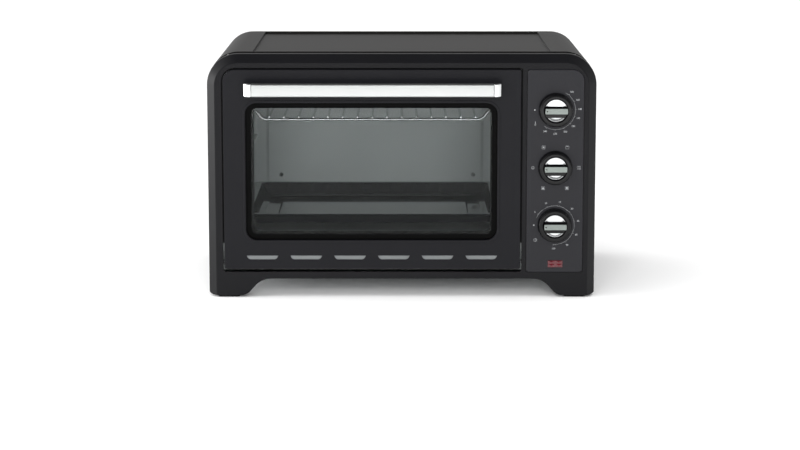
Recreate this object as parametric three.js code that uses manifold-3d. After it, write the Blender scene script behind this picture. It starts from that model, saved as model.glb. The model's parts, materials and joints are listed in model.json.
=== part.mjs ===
// Countertop toaster oven with a drop-down glass door, three rotary controls, a wire rack and a baking tray.
// Millimetres. X runs to the right, Y to the back and Z up. The whole oven stands on Z = 0.

import * as THREE from 'three';
import { mergeVertices } from 'three/addons/utils/BufferGeometryUtils.js';
import Module from 'manifold-3d';

const wasm = await Module();
wasm.setup();

// ---------------------------------------------------------------- Driving dimensions

const gap = 0.3;                  // between pieces that touch

const halfWidth = 270;            // front frame, the widest piece
const frameTop = 340.5;
const coverTop = 342;
const frameDepth = 30;
const frameCorner = 43;           // radius of the frame's top corners
const bandWidth = 11;             // sloping band round the frame
const bandDepth = 9;
const frameSkin = 5;              // front wall of the frame
const frameWall = 4;              // skirt of the frame
const legBottom = 3;
const archHeight = 26.5;
const archFoot = 221;             // half width between the feet, at the floor
const archTop = 190;              // half width between the feet, under the sill

const door = { left: -247.4, right: 165.3, bottom: 40.4, top: 320, front: -1.5, back: 13.5 };
const doorSkin = 3;
const doorWall = 2.5;
const doorCorner = 17;
const hinge = { y: 8.5, z: 50, pinRadius: 2.5 };
const stayArm = { radius: 62, halfWidth: 4, thickness: 2, places: { left: -240, right: 156 } };
const windowEdge = { left: -208.8, right: 126.5, bottom: 86, top: 269, corner: 11 };
const lipWidth = 4.5;
const lipHeight = 1.2;
const ventSlot = { count: 6, first: -194.4, pitch: 61.1, width: 44.6, bottom: 54, top: 59.5 };
const handle = { left: -218, right: 138, bottom: 285, top: 303.5, front: -33, back: -25, endWidth: 11.7 };

const handleMiddle = (handle.bottom + handle.top) / 2;
const handleScrewX = [handle.left + 6, handle.right - 6];

const panel = { left: 173.7, right: 252.3, bottom: 36, top: 320, front: -1.5, back: 8 };
const knobAxisX = 213;
const knobMiddleZ = 183.3;
const knobPitch = 80.7;
const shaftRadius = 3;
const lens = { left: 204, right: 224.5, bottom: 43, top: 52.5 };

const cavity = { left: -229, right: 147, bottom: 80, top: 312, back: 350 };
const linerFront = 14.5;
const sheet = 1.5;                // sheet metal of the liner, cover and back
const ledgeDepth = 9;
const ledgeThickness = 4;
const trayLedge = 112.9;          // tops of the ledges that carry the tray and the rack
const middleLedge = 187;
const rackLedge = 260;

const elementRadius = 3.3;
const elementRows = { front: 140, rear: 255 };
const upperElementZ = 298;
const lowerElementZ = 88;
const fan = { y: 192, z: 196, rotorRadius: 40, housingRadius: 54 };
const bulb = { y: 160, z: 288 };  // where the thermostat's sensor enters the cavity
const accessory = { left: -225.5, right: 143.5, front: 25, back: 338 };   // rack and tray

const bodyBack = 367.8;
const spacerBack = 378;
const baseBottom = 24;
const gland = { x: 222, z: 62, radius: 9 };

// ---------------------------------------------------------------- Solids

function solid(geometry) {
  const bare = geometry.clone();
  bare.deleteAttribute('normal');
  bare.deleteAttribute('uv');
  const merged = mergeVertices(bare, 1e-4);
  return new wasm.Manifold(new wasm.Mesh({
    numProp: 3,
    vertProperties: new Float32Array(merged.attributes.position.array),
    triVerts: new Uint32Array(merged.index.array),
  }));
}

function geometryOf(manifold) {
  const mesh = manifold.getMesh();
  const geometry = new THREE.BufferGeometry();
  geometry.setAttribute('position', new THREE.BufferAttribute(mesh.vertProperties, 3));
  geometry.setIndex(new THREE.BufferAttribute(mesh.triVerts, 1));
  geometry.computeVertexNormals();
  return geometry;
}

function block(x0, x1, y0, y1, z0, z1) {
  const geometry = new THREE.BoxGeometry(x1 - x0, y1 - y0, z1 - z0);
  geometry.translate((x0 + x1) / 2, (y0 + y1) / 2, (z0 + z1) / 2);
  return solid(geometry);
}

// Radii run anticlockwise from the bottom left corner.
function roundedRectangle(left, bottom, right, top, radii) {
  const [bottomLeft, bottomRight, topRight, topLeft] = Array.isArray(radii) ? radii : Array(4).fill(radii);
  const shape = new THREE.Shape();
  const corner = (x, y, radius, startAngle) => {
    if (radius > 0) {
      shape.absarc(x, y, radius, startAngle, startAngle + Math.PI / 2, false);
    } else {
      shape.lineTo(x, y);
    }
  };
  shape.moveTo(left + bottomLeft, bottom);
  shape.lineTo(right - bottomRight, bottom);
  corner(right - bottomRight, bottom + bottomRight, bottomRight, -Math.PI / 2);
  corner(right - topRight, top - topRight, topRight, 0);
  corner(left + topLeft, top - topLeft, topLeft, Math.PI / 2);
  corner(left + bottomLeft, bottom + bottomLeft, bottomLeft, Math.PI);
  return shape;
}

// An outline in X and Z, solid from y0 back to y1.
function frontPlate(shape, y0, y1, arcSteps = 4) {
  const geometry = new THREE.ExtrudeGeometry(shape, {
    depth: y1 - y0,
    bevelEnabled: false,
    curveSegments: arcSteps,
  });
  geometry.rotateX(Math.PI / 2);
  geometry.translate(0, y1, 0);
  return solid(geometry);
}

// An outline in X and Y, solid from z0 up to z1.
function levelPlate(shape, z0, z1, arcSteps = 5) {
  const geometry = new THREE.ExtrudeGeometry(shape, {
    depth: z1 - z0,
    bevelEnabled: false,
    curveSegments: arcSteps,
  });
  geometry.translate(0, 0, z0);
  return solid(geometry);
}

// An outline in Y and Z, solid from x0 right to x1.
function sidePlate(shape, x0, x1, arcSteps = 5) {
  const geometry = new THREE.ExtrudeGeometry(shape, {
    depth: x1 - x0,
    bevelEnabled: false,
    curveSegments: arcSteps,
  });
  geometry.rotateX(Math.PI / 2);
  geometry.rotateZ(Math.PI / 2);
  geometry.translate(x0, 0, 0);
  return solid(geometry);
}

// A pan whose walls slope inwards by slope from z1 down to z0.
function taperedPan(shape, z0, z1, slope, arcSteps = 4) {
  const geometry = new THREE.ExtrudeGeometry(shape, {
    depth: 1,
    bevelThickness: z1 - z0,
    bevelSize: slope,
    bevelOffset: -slope,
    bevelSegments: 1,
    curveSegments: arcSteps,
  });
  geometry.translate(0, 0, z1);
  return solid(geometry).intersect(block(-500, 500, -500, 500, z0 - 1, z1));
}

function rod(start, end, radius, sides = 12) {
  const from = new THREE.Vector3(...start);
  const along = new THREE.Vector3(...end).sub(from);
  const geometry = new THREE.CylinderGeometry(radius, radius, along.length(), sides);
  geometry.translate(0, along.length() / 2, 0);
  geometry.applyQuaternion(new THREE.Quaternion().setFromUnitVectors(
    new THREE.Vector3(0, 1, 0),
    along.clone().normalize(),
  ));
  geometry.translate(from.x, from.y, from.z);
  return solid(geometry);
}

// Profile points are [radius, y], turned about the Y axis.
function turned(profile, sides = 32) {
  return new THREE.LatheGeometry(profile.map(([radius, y]) => new THREE.Vector2(radius, y)), sides);
}

// A path with one section at each of its points.
class KnotPath extends THREE.Curve {
  constructor(knots) {
    super();
    this.knots = knots;
  }

  getPoint(t) {
    const place = t * (this.knots.length - 1);
    const index = Math.min(Math.floor(place), this.knots.length - 2);
    return this.knots[index].clone().lerp(this.knots[index + 1], place - index);
  }

  getPointAt(u) {
    return this.getPoint(u);
  }

  getTangentAt(u, target = new THREE.Vector3()) {
    const index = Math.round(u * (this.knots.length - 1));
    const before = this.knots[Math.max(index - 1, 0)];
    const after = this.knots[Math.min(index + 1, this.knots.length - 1)];
    return target.copy(after).sub(before).normalize();
  }
}

// Corner points with each corner rounded off, reach millimetres from it.
function roundedRoute(corners, reach, steps = 3) {
  const points = corners.map((corner) => new THREE.Vector3(...corner));
  const knots = [points[0]];
  for (let i = 1; i < points.length - 1; i += 1) {
    const entry = points[i].clone().add(points[i - 1].clone().sub(points[i]).setLength(reach));
    const exit = points[i].clone().add(points[i + 1].clone().sub(points[i]).setLength(reach));
    knots.push(...new THREE.QuadraticBezierCurve3(entry, points[i], exit).getPoints(steps));
  }
  knots.push(points[points.length - 1]);
  return knots;
}

function wire(knots, radius, sides = 8) {
  const section = new THREE.Shape();
  for (let i = 0; i < sides; i += 1) {
    const angle = (i * 2 * Math.PI) / sides;
    const point = [radius * Math.cos(angle), radius * Math.sin(angle)];
    if (i === 0) {
      section.moveTo(...point);
    } else {
      section.lineTo(...point);
    }
  }
  section.closePath();
  return solid(new THREE.ExtrudeGeometry(section, {
    steps: knots.length - 1,
    bevelEnabled: false,
    extrudePath: new KnotPath(knots),
  }));
}

// ---------------------------------------------------------------- Finishes

const finishes = {
  satinBlack: { color: 0x2c2c2e, roughness: 0.42, metalness: 0.1 },
  coverBlack: { color: 0x242426, roughness: 0.5, metalness: 0.2 },
  doorBlack: { color: 0x2a2a2d, roughness: 0.35, metalness: 0.1 },
  panelGrey: { color: 0x3c3c40, roughness: 0.4, metalness: 0.1 },
  rubber: { color: 0x161616, roughness: 0.9, metalness: 0 },
  aluminium: { color: 0xd9dbd9, roughness: 0.28, metalness: 1 },
  chrome: { color: 0xe4e6e6, roughness: 0.12, metalness: 1 },
  steel: { color: 0xa9acad, roughness: 0.4, metalness: 0.9 },
  enamel: { color: 0x6a6f6f, roughness: 0.35, metalness: 0.2 },
  gloss: { color: 0x101012, roughness: 0.08, metalness: 0 },
  element: { color: 0x55524e, roughness: 0.6, metalness: 0.6 },
  plastic: { color: 0x1b1b1d, roughness: 0.45, metalness: 0 },
  ceramic: { color: 0xe8e2d4, roughness: 0.7, metalness: 0 },
  brass: { color: 0xc9a24a, roughness: 0.35, metalness: 0.9 },
  red: { color: 0x8a1622, roughness: 0.15, metalness: 0 },
  clear: { color: 0x9fb0ae, roughness: 0.03, metalness: 0 },
};

function piece(name, geometry, finish) {
  const mesh = new THREE.Mesh(geometry, new THREE.MeshStandardMaterial(finishes[finish]));
  mesh.name = name;
  return mesh;
}

function cutPiece(name, manifold, finish) {
  return piece(name, geometryOf(manifold), finish);
}

// ---------------------------------------------------------------- Casing

// The space under the sill, between the feet, grown by margin.
function archSolid(margin, y0, y1) {
  const rise = archHeight + margin;
  const foot = archFoot + margin;
  const top = archTop + margin;
  const pull = 14;                // how far the curve runs level before it climbs
  const shape = new THREE.Shape();
  shape.moveTo(-foot, -50);
  shape.lineTo(foot, -50);
  shape.lineTo(foot, margin);
  shape.bezierCurveTo(foot - pull, margin, top + pull, rise, top, rise);
  shape.lineTo(-top, rise);
  shape.bezierCurveTo(-top - pull, rise, -foot + pull, margin, -foot, margin);
  return frontPlate(shape, y0, y1, 8);
}

function doorOpening(y0, y1) {
  const side = 2.2;
  const sill = 4.6;               // the door's lower edge swings down through here
  return frontPlate(roundedRectangle(
    door.left - side,
    door.bottom - sill,
    door.right + side,
    door.top + side,
    [4, 4, 4, doorCorner + side],
  ), y0, y1);
}

function frontFrame() {
  const outline = roundedRectangle(-halfWidth, -40, halfWidth, frameTop, [0, 0, frameCorner, frameCorner]);
  const blank = new THREE.ExtrudeGeometry(outline, {
    depth: frameDepth - bandDepth,
    bevelThickness: bandDepth,
    bevelSize: bandWidth,
    bevelOffset: -bandWidth,
    bevelSegments: 3,
    curveSegments: 8,
  });
  blank.rotateX(Math.PI / 2);
  blank.translate(0, frameDepth, 0);

  const deepInset = bandWidth + frameWall;
  const hollow = frontPlate(roundedRectangle(
    -halfWidth + deepInset,
    legBottom + frameWall,
    halfWidth - deepInset,
    frameTop - deepInset,
    [2, 2, frameCorner - deepInset, frameCorner - deepInset],
  ), frameSkin, frameDepth + 1).add(frontPlate(roundedRectangle(
    -halfWidth + frameWall,
    legBottom + frameWall,
    halfWidth - frameWall,
    frameTop - frameWall,
    [5, 5, frameCorner - frameWall, frameCorner - frameWall],
  ), bandDepth + 3, frameDepth + 1)).subtract(archSolid(frameWall, -1, frameDepth + 2));

  const footRound = 9;
  const outside = frontPlate(roundedRectangle(
    -halfWidth - 1,
    legBottom,
    halfWidth + 1,
    frameTop + 1,
    [footRound, footRound, 1, 1],
  ), -1, frameDepth);
  const panelOpening = frontPlate(roundedRectangle(
    panel.left - 0.4,
    panel.bottom - 0.4,
    panel.right + 0.4,
    panel.top + 0.4,
    [4, 4, 16.4, 4],
  ), -1, frameDepth);

  return solid(blank)
    .intersect(outside)
    .subtract(archSolid(0, -1, frameDepth + 1))
    .subtract(doorOpening(-1, frameDepth))
    .subtract(panelOpening)
    .subtract(hollow);
}

function slotRow(cut, count, place) {
  let result = cut;
  for (let i = 0; i < count; i += 1) {
    result = result.subtract(place(i));
  }
  return result;
}

function outerCover() {
  const halfCover = halfWidth - 1.5;
  const corner = frameCorner - 1.5;
  const front = frameDepth + gap;
  const back = bodyBack - sheet - gap;
  const recess = { halfWidth: 207.5, floor: coverTop - 3.5, back: back - 5 };
  const outer = frontPlate(
    roundedRectangle(-halfCover, baseBottom, halfCover, coverTop, [0, 0, corner, corner]),
    front,
    back,
    8,
  );
  const inner = frontPlate(
    roundedRectangle(
      -halfCover + sheet,
      baseBottom - 10,
      halfCover - sheet,
      coverTop - sheet,
      [0, 0, corner - sheet, corner - sheet],
    ),
    front - 1,
    back + 1,
    8,
  );
  let shell = outer
    .subtract(inner)
    .add(block(
      -recess.halfWidth - sheet,
      recess.halfWidth + sheet,
      front,
      recess.back + sheet,
      recess.floor - sheet,
      coverTop,
    ))
    .subtract(block(
      -recess.halfWidth,
      recess.halfWidth,
      front - 1,
      recess.back,
      recess.floor,
      coverTop + 1,
    ));

  const slot = { height: 34, width: 5, pitch: 13, count: 9 };
  const ventRow = (x0, x1, firstY, bottom) => (i) => block(
    x0,
    x1,
    firstY + i * slot.pitch,
    firstY + i * slot.pitch + slot.width,
    bottom,
    bottom + slot.height,
  );
  shell = slotRow(shell, slot.count, ventRow(halfCover - 10, halfCover + 1, 205, 262));
  shell = slotRow(shell, slot.count, ventRow(halfCover - 10, halfCover + 1, 205, 50));
  shell = slotRow(shell, slot.count, ventRow(-halfCover - 1, -halfCover + 10, 205, 262));
  return shell;
}

function backPanel() {
  const y0 = bodyBack - sheet;
  const edge = 266;
  const outline = roundedRectangle(-edge, baseBottom + 2, edge, coverTop - 3, [2, 2, 38, 38]);
  let plate = frontPlate(outline, y0, bodyBack, 6);
  const slot = { width: 70, height: 5, pitch: 13, count: 6, bottom: 215 };
  for (const firstX of [-200, -60, 110]) {
    plate = slotRow(plate, slot.count, (i) => block(
      firstX,
      firstX + slot.width,
      y0 - 1,
      bodyBack + 1,
      slot.bottom + i * slot.pitch,
      slot.bottom + i * slot.pitch + slot.height,
    ));
  }
  const holeRadius = gland.radius + 0.4;
  return plate.subtract(rod([gland.x, y0 - 1, gland.z], [gland.x, bodyBack + 1, gland.z], holeRadius, 20));
}

function cordGland() {
  const inside = bodyBack - 12;
  const outside = spacerBack - 2;
  const barrel = rod([gland.x, inside, gland.z], [gland.x, outside, gland.z], gland.radius, 20);
  const collarRadius = gland.radius + 3.5;
  const collar = rod([gland.x, bodyBack + gap, gland.z], [gland.x, bodyBack + 4, gland.z], collarRadius, 20);
  const bore = rod([gland.x, bodyBack - 6, gland.z], [gland.x, outside + 1, gland.z], 3.8, 16);
  return barrel.add(collar).subtract(bore);
}

function buildCasing() {
  const casing = new THREE.Group();
  casing.add(cutPiece('front_frame', frontFrame(), 'satinBlack'));
  casing.add(cutPiece('outer_cover', outerCover(), 'coverBlack'));
  casing.add(cutPiece('back_panel', backPanel(), 'coverBlack'));
  casing.add(cutPiece('cord_gland', cordGland(), 'plastic'));

  const plateEdge = halfWidth - 3.5;
  const plate = block(
    -plateEdge,
    plateEdge,
    frameDepth + gap,
    bodyBack - sheet - gap,
    baseBottom,
    baseBottom + sheet,
  );
  casing.add(cutPiece('base_plate', plate, 'steel'));

  for (const [side, sign] of [['left', -1], ['right', 1]]) {
    const padShape = roundedRectangle(-15, -11, 15, 11, 4);
    const pad = cutPiece(`front_foot_pad_${side}`, levelPlate(padShape, 0, legBottom - gap, 3), 'rubber');
    pad.position.set(sign * 242, frameDepth / 2, 0);
    casing.add(pad);

    const footShape = roundedRectangle(-18, -15, 18, 15, 6);
    const foot = cutPiece(`rear_foot_${side}`, levelPlate(footShape, 0, baseBottom - gap, 4), 'rubber');
    foot.position.set(sign * 238, 342, 0);
    casing.add(foot);

    const spacerShape = roundedRectangle(-26, -9, 26, 9, 5);
    const spacer = frontPlate(spacerShape, bodyBack + gap, spacerBack, 4);
    const spacerPiece = cutPiece(`rear_spacer_${side}`, spacer, 'plastic');
    spacerPiece.position.set(sign * 205, 0, 312);
    casing.add(spacerPiece);
  }
  return casing;
}

// ---------------------------------------------------------------- Cavity

function cavityLiner() {
  const { left, right, bottom, top, back } = cavity;
  const flange = { left: -254, right: 172, bottom: 62, top: 324, apron: 36 };
  const stepBack = 20;            // the flange steps back here so that the door's lower edge can swing
  const cornerRound = 20;

  let liner = frontPlate(
    roundedRectangle(left - sheet, bottom - sheet, right + sheet, top + sheet, cornerRound + sheet),
    linerFront,
    back + sheet,
    4,
  );
  const flangeBlock = (y0, y1, z0, z1) => block(flange.left, flange.right, y0, y1, z0, z1);
  const stepTop = flange.bottom + sheet;
  liner = liner
    .add(flangeBlock(linerFront, linerFront + sheet, flange.bottom, flange.top))
    .add(flangeBlock(linerFront, stepBack + sheet, flange.bottom, stepTop))
    .add(flangeBlock(stepBack, stepBack + sheet, flange.apron, stepTop));
  const room = roundedRectangle(left, bottom, right, top, cornerRound);
  liner = liner.subtract(frontPlate(room, linerFront - 1, back, 4));

  // Shallow pressed panel that stiffens the back wall.
  const press = 26;
  const pressed = frontPlate(
    roundedRectangle(left + press, bottom + 18, right - press, top - 18, press),
    back - 2.5,
    back + 0.5,
    4,
  );
  liner = liner.add(pressed);

  for (const z of [trayLedge, middleLedge, rackLedge]) {
    const stretches = z === middleLedge ? [[24, 128], [256, 340]] : [[24, 340]];
    liner = liner.add(block(left - 0.5, left + ledgeDepth, 24, 340, z - ledgeThickness, z));
    for (const [y0, y1] of stretches) {
      liner = liner.add(block(right - ledgeDepth, right + 0.5, y0, y1, z - ledgeThickness, z));
    }
  }

  for (const y of Object.values(elementRows)) {
    for (const z of [upperElementZ, lowerElementZ]) {
      liner = liner.subtract(rod([left - 9, y, z], [left + 9, y, z], elementRadius + 0.6));
      liner = liner.subtract(rod([right - 9, y, z], [right + 9, y, z], elementRadius + 0.6));
    }
  }
  liner = liner.subtract(rod([right - 3, fan.y, fan.z], [right + 3, fan.y, fan.z], 47, 24));
  liner = liner.subtract(rod([right - 3, bulb.y, bulb.z], [right + 3, bulb.y, bulb.z], 3, 8));
  for (const arm of Object.values(stayArm.places)) {
    liner = liner.subtract(block(arm - 2, arm + 4, linerFront - 1, linerFront + 3, 104, 119));
  }
  return liner;
}

function heatingElement(z) {
  const body = rod([cavity.left - 3.4, 0, z], [cavity.right + 3.4, 0, z], elementRadius);
  return body
    .add(rod([cavity.left - 13, 0, z], [cavity.left - 3, 0, z], 1.8, 8))
    .add(rod([cavity.right + 3, 0, z], [cavity.right + 13, 0, z], 1.8, 8));
}

function fanHousing() {
  const open = cavity.right + sheet + gap;
  const closed = 171.5;
  const wall = 1.2;
  const axisAt = (x) => [x, fan.y, fan.z];
  return rod(axisAt(open), axisAt(closed), fan.housingRadius, 28)
    .subtract(rod(axisAt(open - 1), axisAt(closed - wall), fan.housingRadius - wall, 28))
    .subtract(rod(axisAt(closed - 3), axisAt(closed + 3), 5, 12));
}

function fanGrille() {
  const outer = cavity.right - gap;
  const pitch = 11;
  const reach = 44;
  const slotHeight = 5;
  let disc = rod([outer - 1.4, fan.y, fan.z], [outer, fan.y, fan.z], 53, 28);
  for (let i = -3; i <= 3; i += 1) {
    const middle = fan.z + i * pitch;
    const half = Math.sqrt(reach ** 2 - (i * pitch) ** 2);
    const slot = block(
      outer - 4,
      outer + 4,
      fan.y - half,
      fan.y + half,
      middle - slotHeight / 2,
      middle + slotHeight / 2,
    );
    disc = disc.subtract(slot);
  }
  return disc;
}

function fanRotor() {
  const hub = rod([152, 0, 0], [166, 0, 0], 9, 12);
  let rotor = hub.add(rod([160, 0, 0], [182, 0, 0], 2.5, 10));
  const blades = 6;
  for (let i = 0; i < blades; i += 1) {
    const blade = new THREE.BoxGeometry(14, 1.6, fan.rotorRadius - 4);
    blade.rotateZ(0.5);
    blade.translate(159, 0, (fan.rotorRadius + 4) / 2);
    blade.rotateX((i * 2 * Math.PI) / blades);
    rotor = rotor.add(solid(blade));
  }
  return rotor;
}

function fanMotor() {
  const { y, z } = fan;
  return block(177, 197, y - 27, y + 27, z - 24, z + 24)
    .add(block(174.6, 206, y - 16, y + 16, z - 36, z - 12))
    .add(rod([174.6, y, z], [204, y, z], 11, 16))
    .subtract(rod([170, y, z], [185, y, z], 3, 12));
}

function heatShield() {
  const x0 = 173;
  const x1 = x0 + 1.2;
  return block(x0, x1, frameDepth + 4, 345, baseBottom + 2, coverTop - 8)
    .subtract(rod([x0 - 1, fan.y, fan.z], [x1 + 1, fan.y, fan.z], 5, 12))
    .subtract(rod([x0 - 1, bulb.y, bulb.z], [x1 + 1, bulb.y, bulb.z], 4, 8));
}

function buildCavity() {
  const group = new THREE.Group();
  group.add(cutPiece('cavity_liner', cavityLiner(), 'enamel'));
  group.add(cutPiece('heat_shield', heatShield(), 'steel'));
  group.add(cutPiece('fan_housing', fanHousing(), 'steel'));
  group.add(cutPiece('fan_grille', fanGrille(), 'enamel'));
  group.add(cutPiece('fan_motor', fanMotor(), 'steel'));
  for (const [level, z] of [['upper', upperElementZ], ['lower', lowerElementZ]]) {
    for (const [row, y] of Object.entries(elementRows)) {
      const element = cutPiece(`${level}_element_${row}`, heatingElement(z), 'element');
      element.position.y = y;
      group.add(element);
    }
  }

  const capillary = roundedRoute([
    [208, 44.3, 276],
    [208, 70, 276],
    [196, bulb.y, bulb.z],
    [141, bulb.y, bulb.z],
    [141, bulb.y + 14, bulb.z],
  ], 6, 3);
  const sensor = wire(capillary, 1.2, 6).add(rod([141, bulb.y + 12, bulb.z], [141, 238, bulb.z], 2.6, 8));
  group.add(cutPiece('thermostat_bulb', sensor, 'brass'));
  return group;
}

// ---------------------------------------------------------------- Controls

const controls = [
  { name: 'temperature', z: knobMiddleZ + knobPitch },
  { name: 'function', z: knobMiddleZ },
  { name: 'timer', z: knobMiddleZ - knobPitch },
];
const switchFront = 10.1;
const boreDepth = 14;

function drillForShafts(target, radius, y0, y1) {
  return controls.reduce(
    (rest, { z }) => rest.subtract(rod([knobAxisX, y0, z], [knobAxisX, y1, z], radius, 16)),
    target,
  );
}

function controlPanel() {
  const skin = 3;
  const wall = 2.5;
  const { left, right, bottom, top, front, back } = panel;
  const body = frontPlate(roundedRectangle(left, bottom, right, top, [4, 4, 16, 4]), front, back);
  const hollow = frontPlate(
    roundedRectangle(left + wall, bottom + wall, right - wall, top - wall, [1.5, 1.5, 13.5, 1.5]),
    front + skin,
    back + 1,
  );
  const lensHole = block(
    lens.left - gap,
    lens.right + gap,
    front - 1,
    back,
    lens.bottom - gap,
    lens.top + gap,
  );
  return drillForShafts(body.subtract(hollow).subtract(lensHole), 5, front - 1, back);
}

function controlBracket() {
  const plate = block(panel.left + 3, panel.right - 3, panel.back + gap, panel.back + gap + sheet, 62, 310);
  return drillForShafts(plate, 5.5, 0, 20);
}

function buildControlHousings() {
  const group = new THREE.Group();
  group.add(cutPiece('control_panel', controlPanel(), 'panelGrey'));
  group.add(cutPiece('control_bracket', controlBracket(), 'steel'));

  const lensFace = block(lens.left, lens.right, panel.front - 1.2, panel.front + 4, lens.bottom, lens.top);
  group.add(cutPiece('indicator_lens', lensFace, 'red'));
  const lampX = (lens.left + lens.right) / 2;
  const lampZ = (lens.bottom + lens.top) / 2;
  const lamp = rod([lampX, panel.front + 4.3, lampZ], [lampX, 22, lampZ], 4, 12);
  group.add(cutPiece('indicator_lamp', lamp, 'ceramic'));

  const [temperature, selector, timer] = controls;
  const bore = (z) => rod([knobAxisX, switchFront - 1, z], [knobAxisX, switchFront + boreDepth, z], 3.4, 16);
  const box = (control, halfX, halfZ, back) => block(
    knobAxisX - halfX,
    knobAxisX + halfX,
    switchFront,
    back,
    control.z - halfZ,
    control.z + halfZ,
  ).subtract(bore(control.z));
  group.add(cutPiece('thermostat_body', box(temperature, 20, 17, 44), 'ceramic'));
  group.add(cutPiece('selector_switch', box(selector, 19, 19, 46), 'plastic'));
  const timerCase = rod([knobAxisX, switchFront, timer.z], [knobAxisX, 44, timer.z], 27, 24);
  group.add(cutPiece('timer_body', timerCase.subtract(bore(timer.z)), 'steel'));
  const bell = turned([
    [0, 58.6],
    [15.4, 58.6],
    [23.8, 51.4],
    [24.6, 45],
    [26, 45],
    [25, 52],
    [16, 60],
    [0, 60],
  ], 16);
  const bellPiece = piece('timer_bell', bell, 'brass');
  bellPiece.position.set(knobAxisX, 0, timer.z);
  group.add(bellPiece);

  group.add(cutPiece('terminal_block', block(192, 240, 322, 340, 80, 100), 'ceramic'));
  return group;
}

// A knob turns about its own Y axis: dark skirt, bright cap with a grip bar, and the shaft behind.
function buildKnob({ name, z }) {
  const face = panel.front - 0.7;
  const boreTop = face - 7;
  const knob = new THREE.Group();
  knob.position.set(knobAxisX, 0, z);
  const skirt = turned([
    [3.3, face],
    [3.3, boreTop],
    [17.3, boreTop],
    [17.3, face - 10.5],
    [21.5, face - 10.5],
    [22.5, face - 9.5],
    [24, face - 3],
    [24, face],
    [3.3, face],
  ], 24);
  knob.add(piece(`${name}_knob_skirt`, skirt, 'plastic'));

  const capBack = boreTop - gap;
  const capDisc = turned([
    [0, face - 11],
    [15.8, face - 11],
    [16.8, face - 10],
    [16.8, capBack],
    [0, capBack],
  ], 24);
  const grip = frontPlate(roundedRectangle(-16, -4.7, 16, 4.7, 2), face - 17, face - 10, 3);
  const cap = solid(capDisc).add(grip);
  knob.add(cutPiece(`${name}_knob_cap`, cap, 'chrome'));

  const shaft = rod([0, boreTop + gap, 0], [0, switchFront + boreDepth - 2, 0], shaftRadius, 16);
  knob.add(cutPiece(`${name}_knob_shaft`, shaft, 'steel'));
  return knob;
}

// ---------------------------------------------------------------- Door

function doorFrame() {
  const { left, right, bottom, top, front, back } = door;
  const rimWall = 3;
  const windowHole = (grow, y0, y1) => frontPlate(roundedRectangle(
    windowEdge.left - grow,
    windowEdge.bottom - grow,
    windowEdge.right + grow,
    windowEdge.top + grow,
    windowEdge.corner + grow,
  ), y0, y1);
  const outside = frontPlate(roundedRectangle(left, bottom, right, top, [3, 3, 3, doorCorner]), front, back);
  const inside = roundedRectangle(
    left + doorWall,
    bottom + doorWall,
    right - doorWall,
    top - doorWall,
    [1, 1, 1, doorCorner - doorWall],
  );
  const hollow = frontPlate(inside, front + doorSkin, back + 1)
    .subtract(windowHole(rimWall, front, front + doorSkin + 2.5));
  let frame = outside
    .subtract(hollow)
    .add(windowHole(lipWidth, front - lipHeight, front + 1))
    .subtract(windowHole(0, front - 5, back));
  frame = slotRow(frame, ventSlot.count, (i) => {
    const middle = ventSlot.first + i * ventSlot.pitch;
    return block(
      middle - ventSlot.width / 2,
      middle + ventSlot.width / 2,
      front - 1,
      front + doorSkin + 1,
      ventSlot.bottom,
      ventSlot.top,
    );
  });
  for (const x of [left + doorWall / 2, right - doorWall / 2]) {
    const pinHole = rod([x - 3, hinge.y, hinge.z], [x + 3, hinge.y, hinge.z], hinge.pinRadius + 0.3, 16);
    frame = frame.subtract(pinHole);
  }
  for (const x of handleScrewX) {
    frame = frame.subtract(rod([x, front - 1, handleMiddle], [x, front + 4, handleMiddle], 2.4, 10));
  }
  return frame;
}

function doorInnerFrame() {
  const plateBack = 13.2;
  const panBack = 19.5;
  const skin = 1.2;
  const plate = block(-233, 151, 11, plateBack, 66, 312);
  const panShape = (inset) => roundedRectangle(
    -222 + inset,
    87 + inset,
    140 - inset,
    305 - inset,
    16 - inset,
  );
  const pan = frontPlate(panShape(0), plateBack - 0.5, panBack, 4);
  const panHollow = frontPlate(panShape(skin), 10, panBack - skin, 4);
  const sight = frontPlate(roundedRectangle(-206, 91.5, 123.5, 266, 8), 5, 25, 4);
  return plate.add(pan).subtract(panHollow).subtract(sight);
}

function handleEnd(outerX, innerX, outerRound) {
  const { front, bottom, top } = handle;
  const leftX = Math.min(outerX, innerX);
  const rightX = Math.max(outerX, innerX);
  const isLeft = outerX < innerX;
  const radii = isLeft ? [outerRound, 0, 0, 0] : [0, outerRound, 0, 0];
  return levelPlate(roundedRectangle(leftX, front, rightX, door.front - gap, radii), bottom, top, 6);
}

function stayArmShape() {
  const shape = new THREE.Shape();
  const { radius, halfWidth: half } = stayArm;
  const start = (96 * Math.PI) / 180;
  const end = (-15 * Math.PI) / 180;
  shape.absarc(hinge.y, hinge.z, radius + half, start, end, true);
  shape.absarc(hinge.y, hinge.z, radius - half, end, start, false);
  return shape;
}

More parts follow.
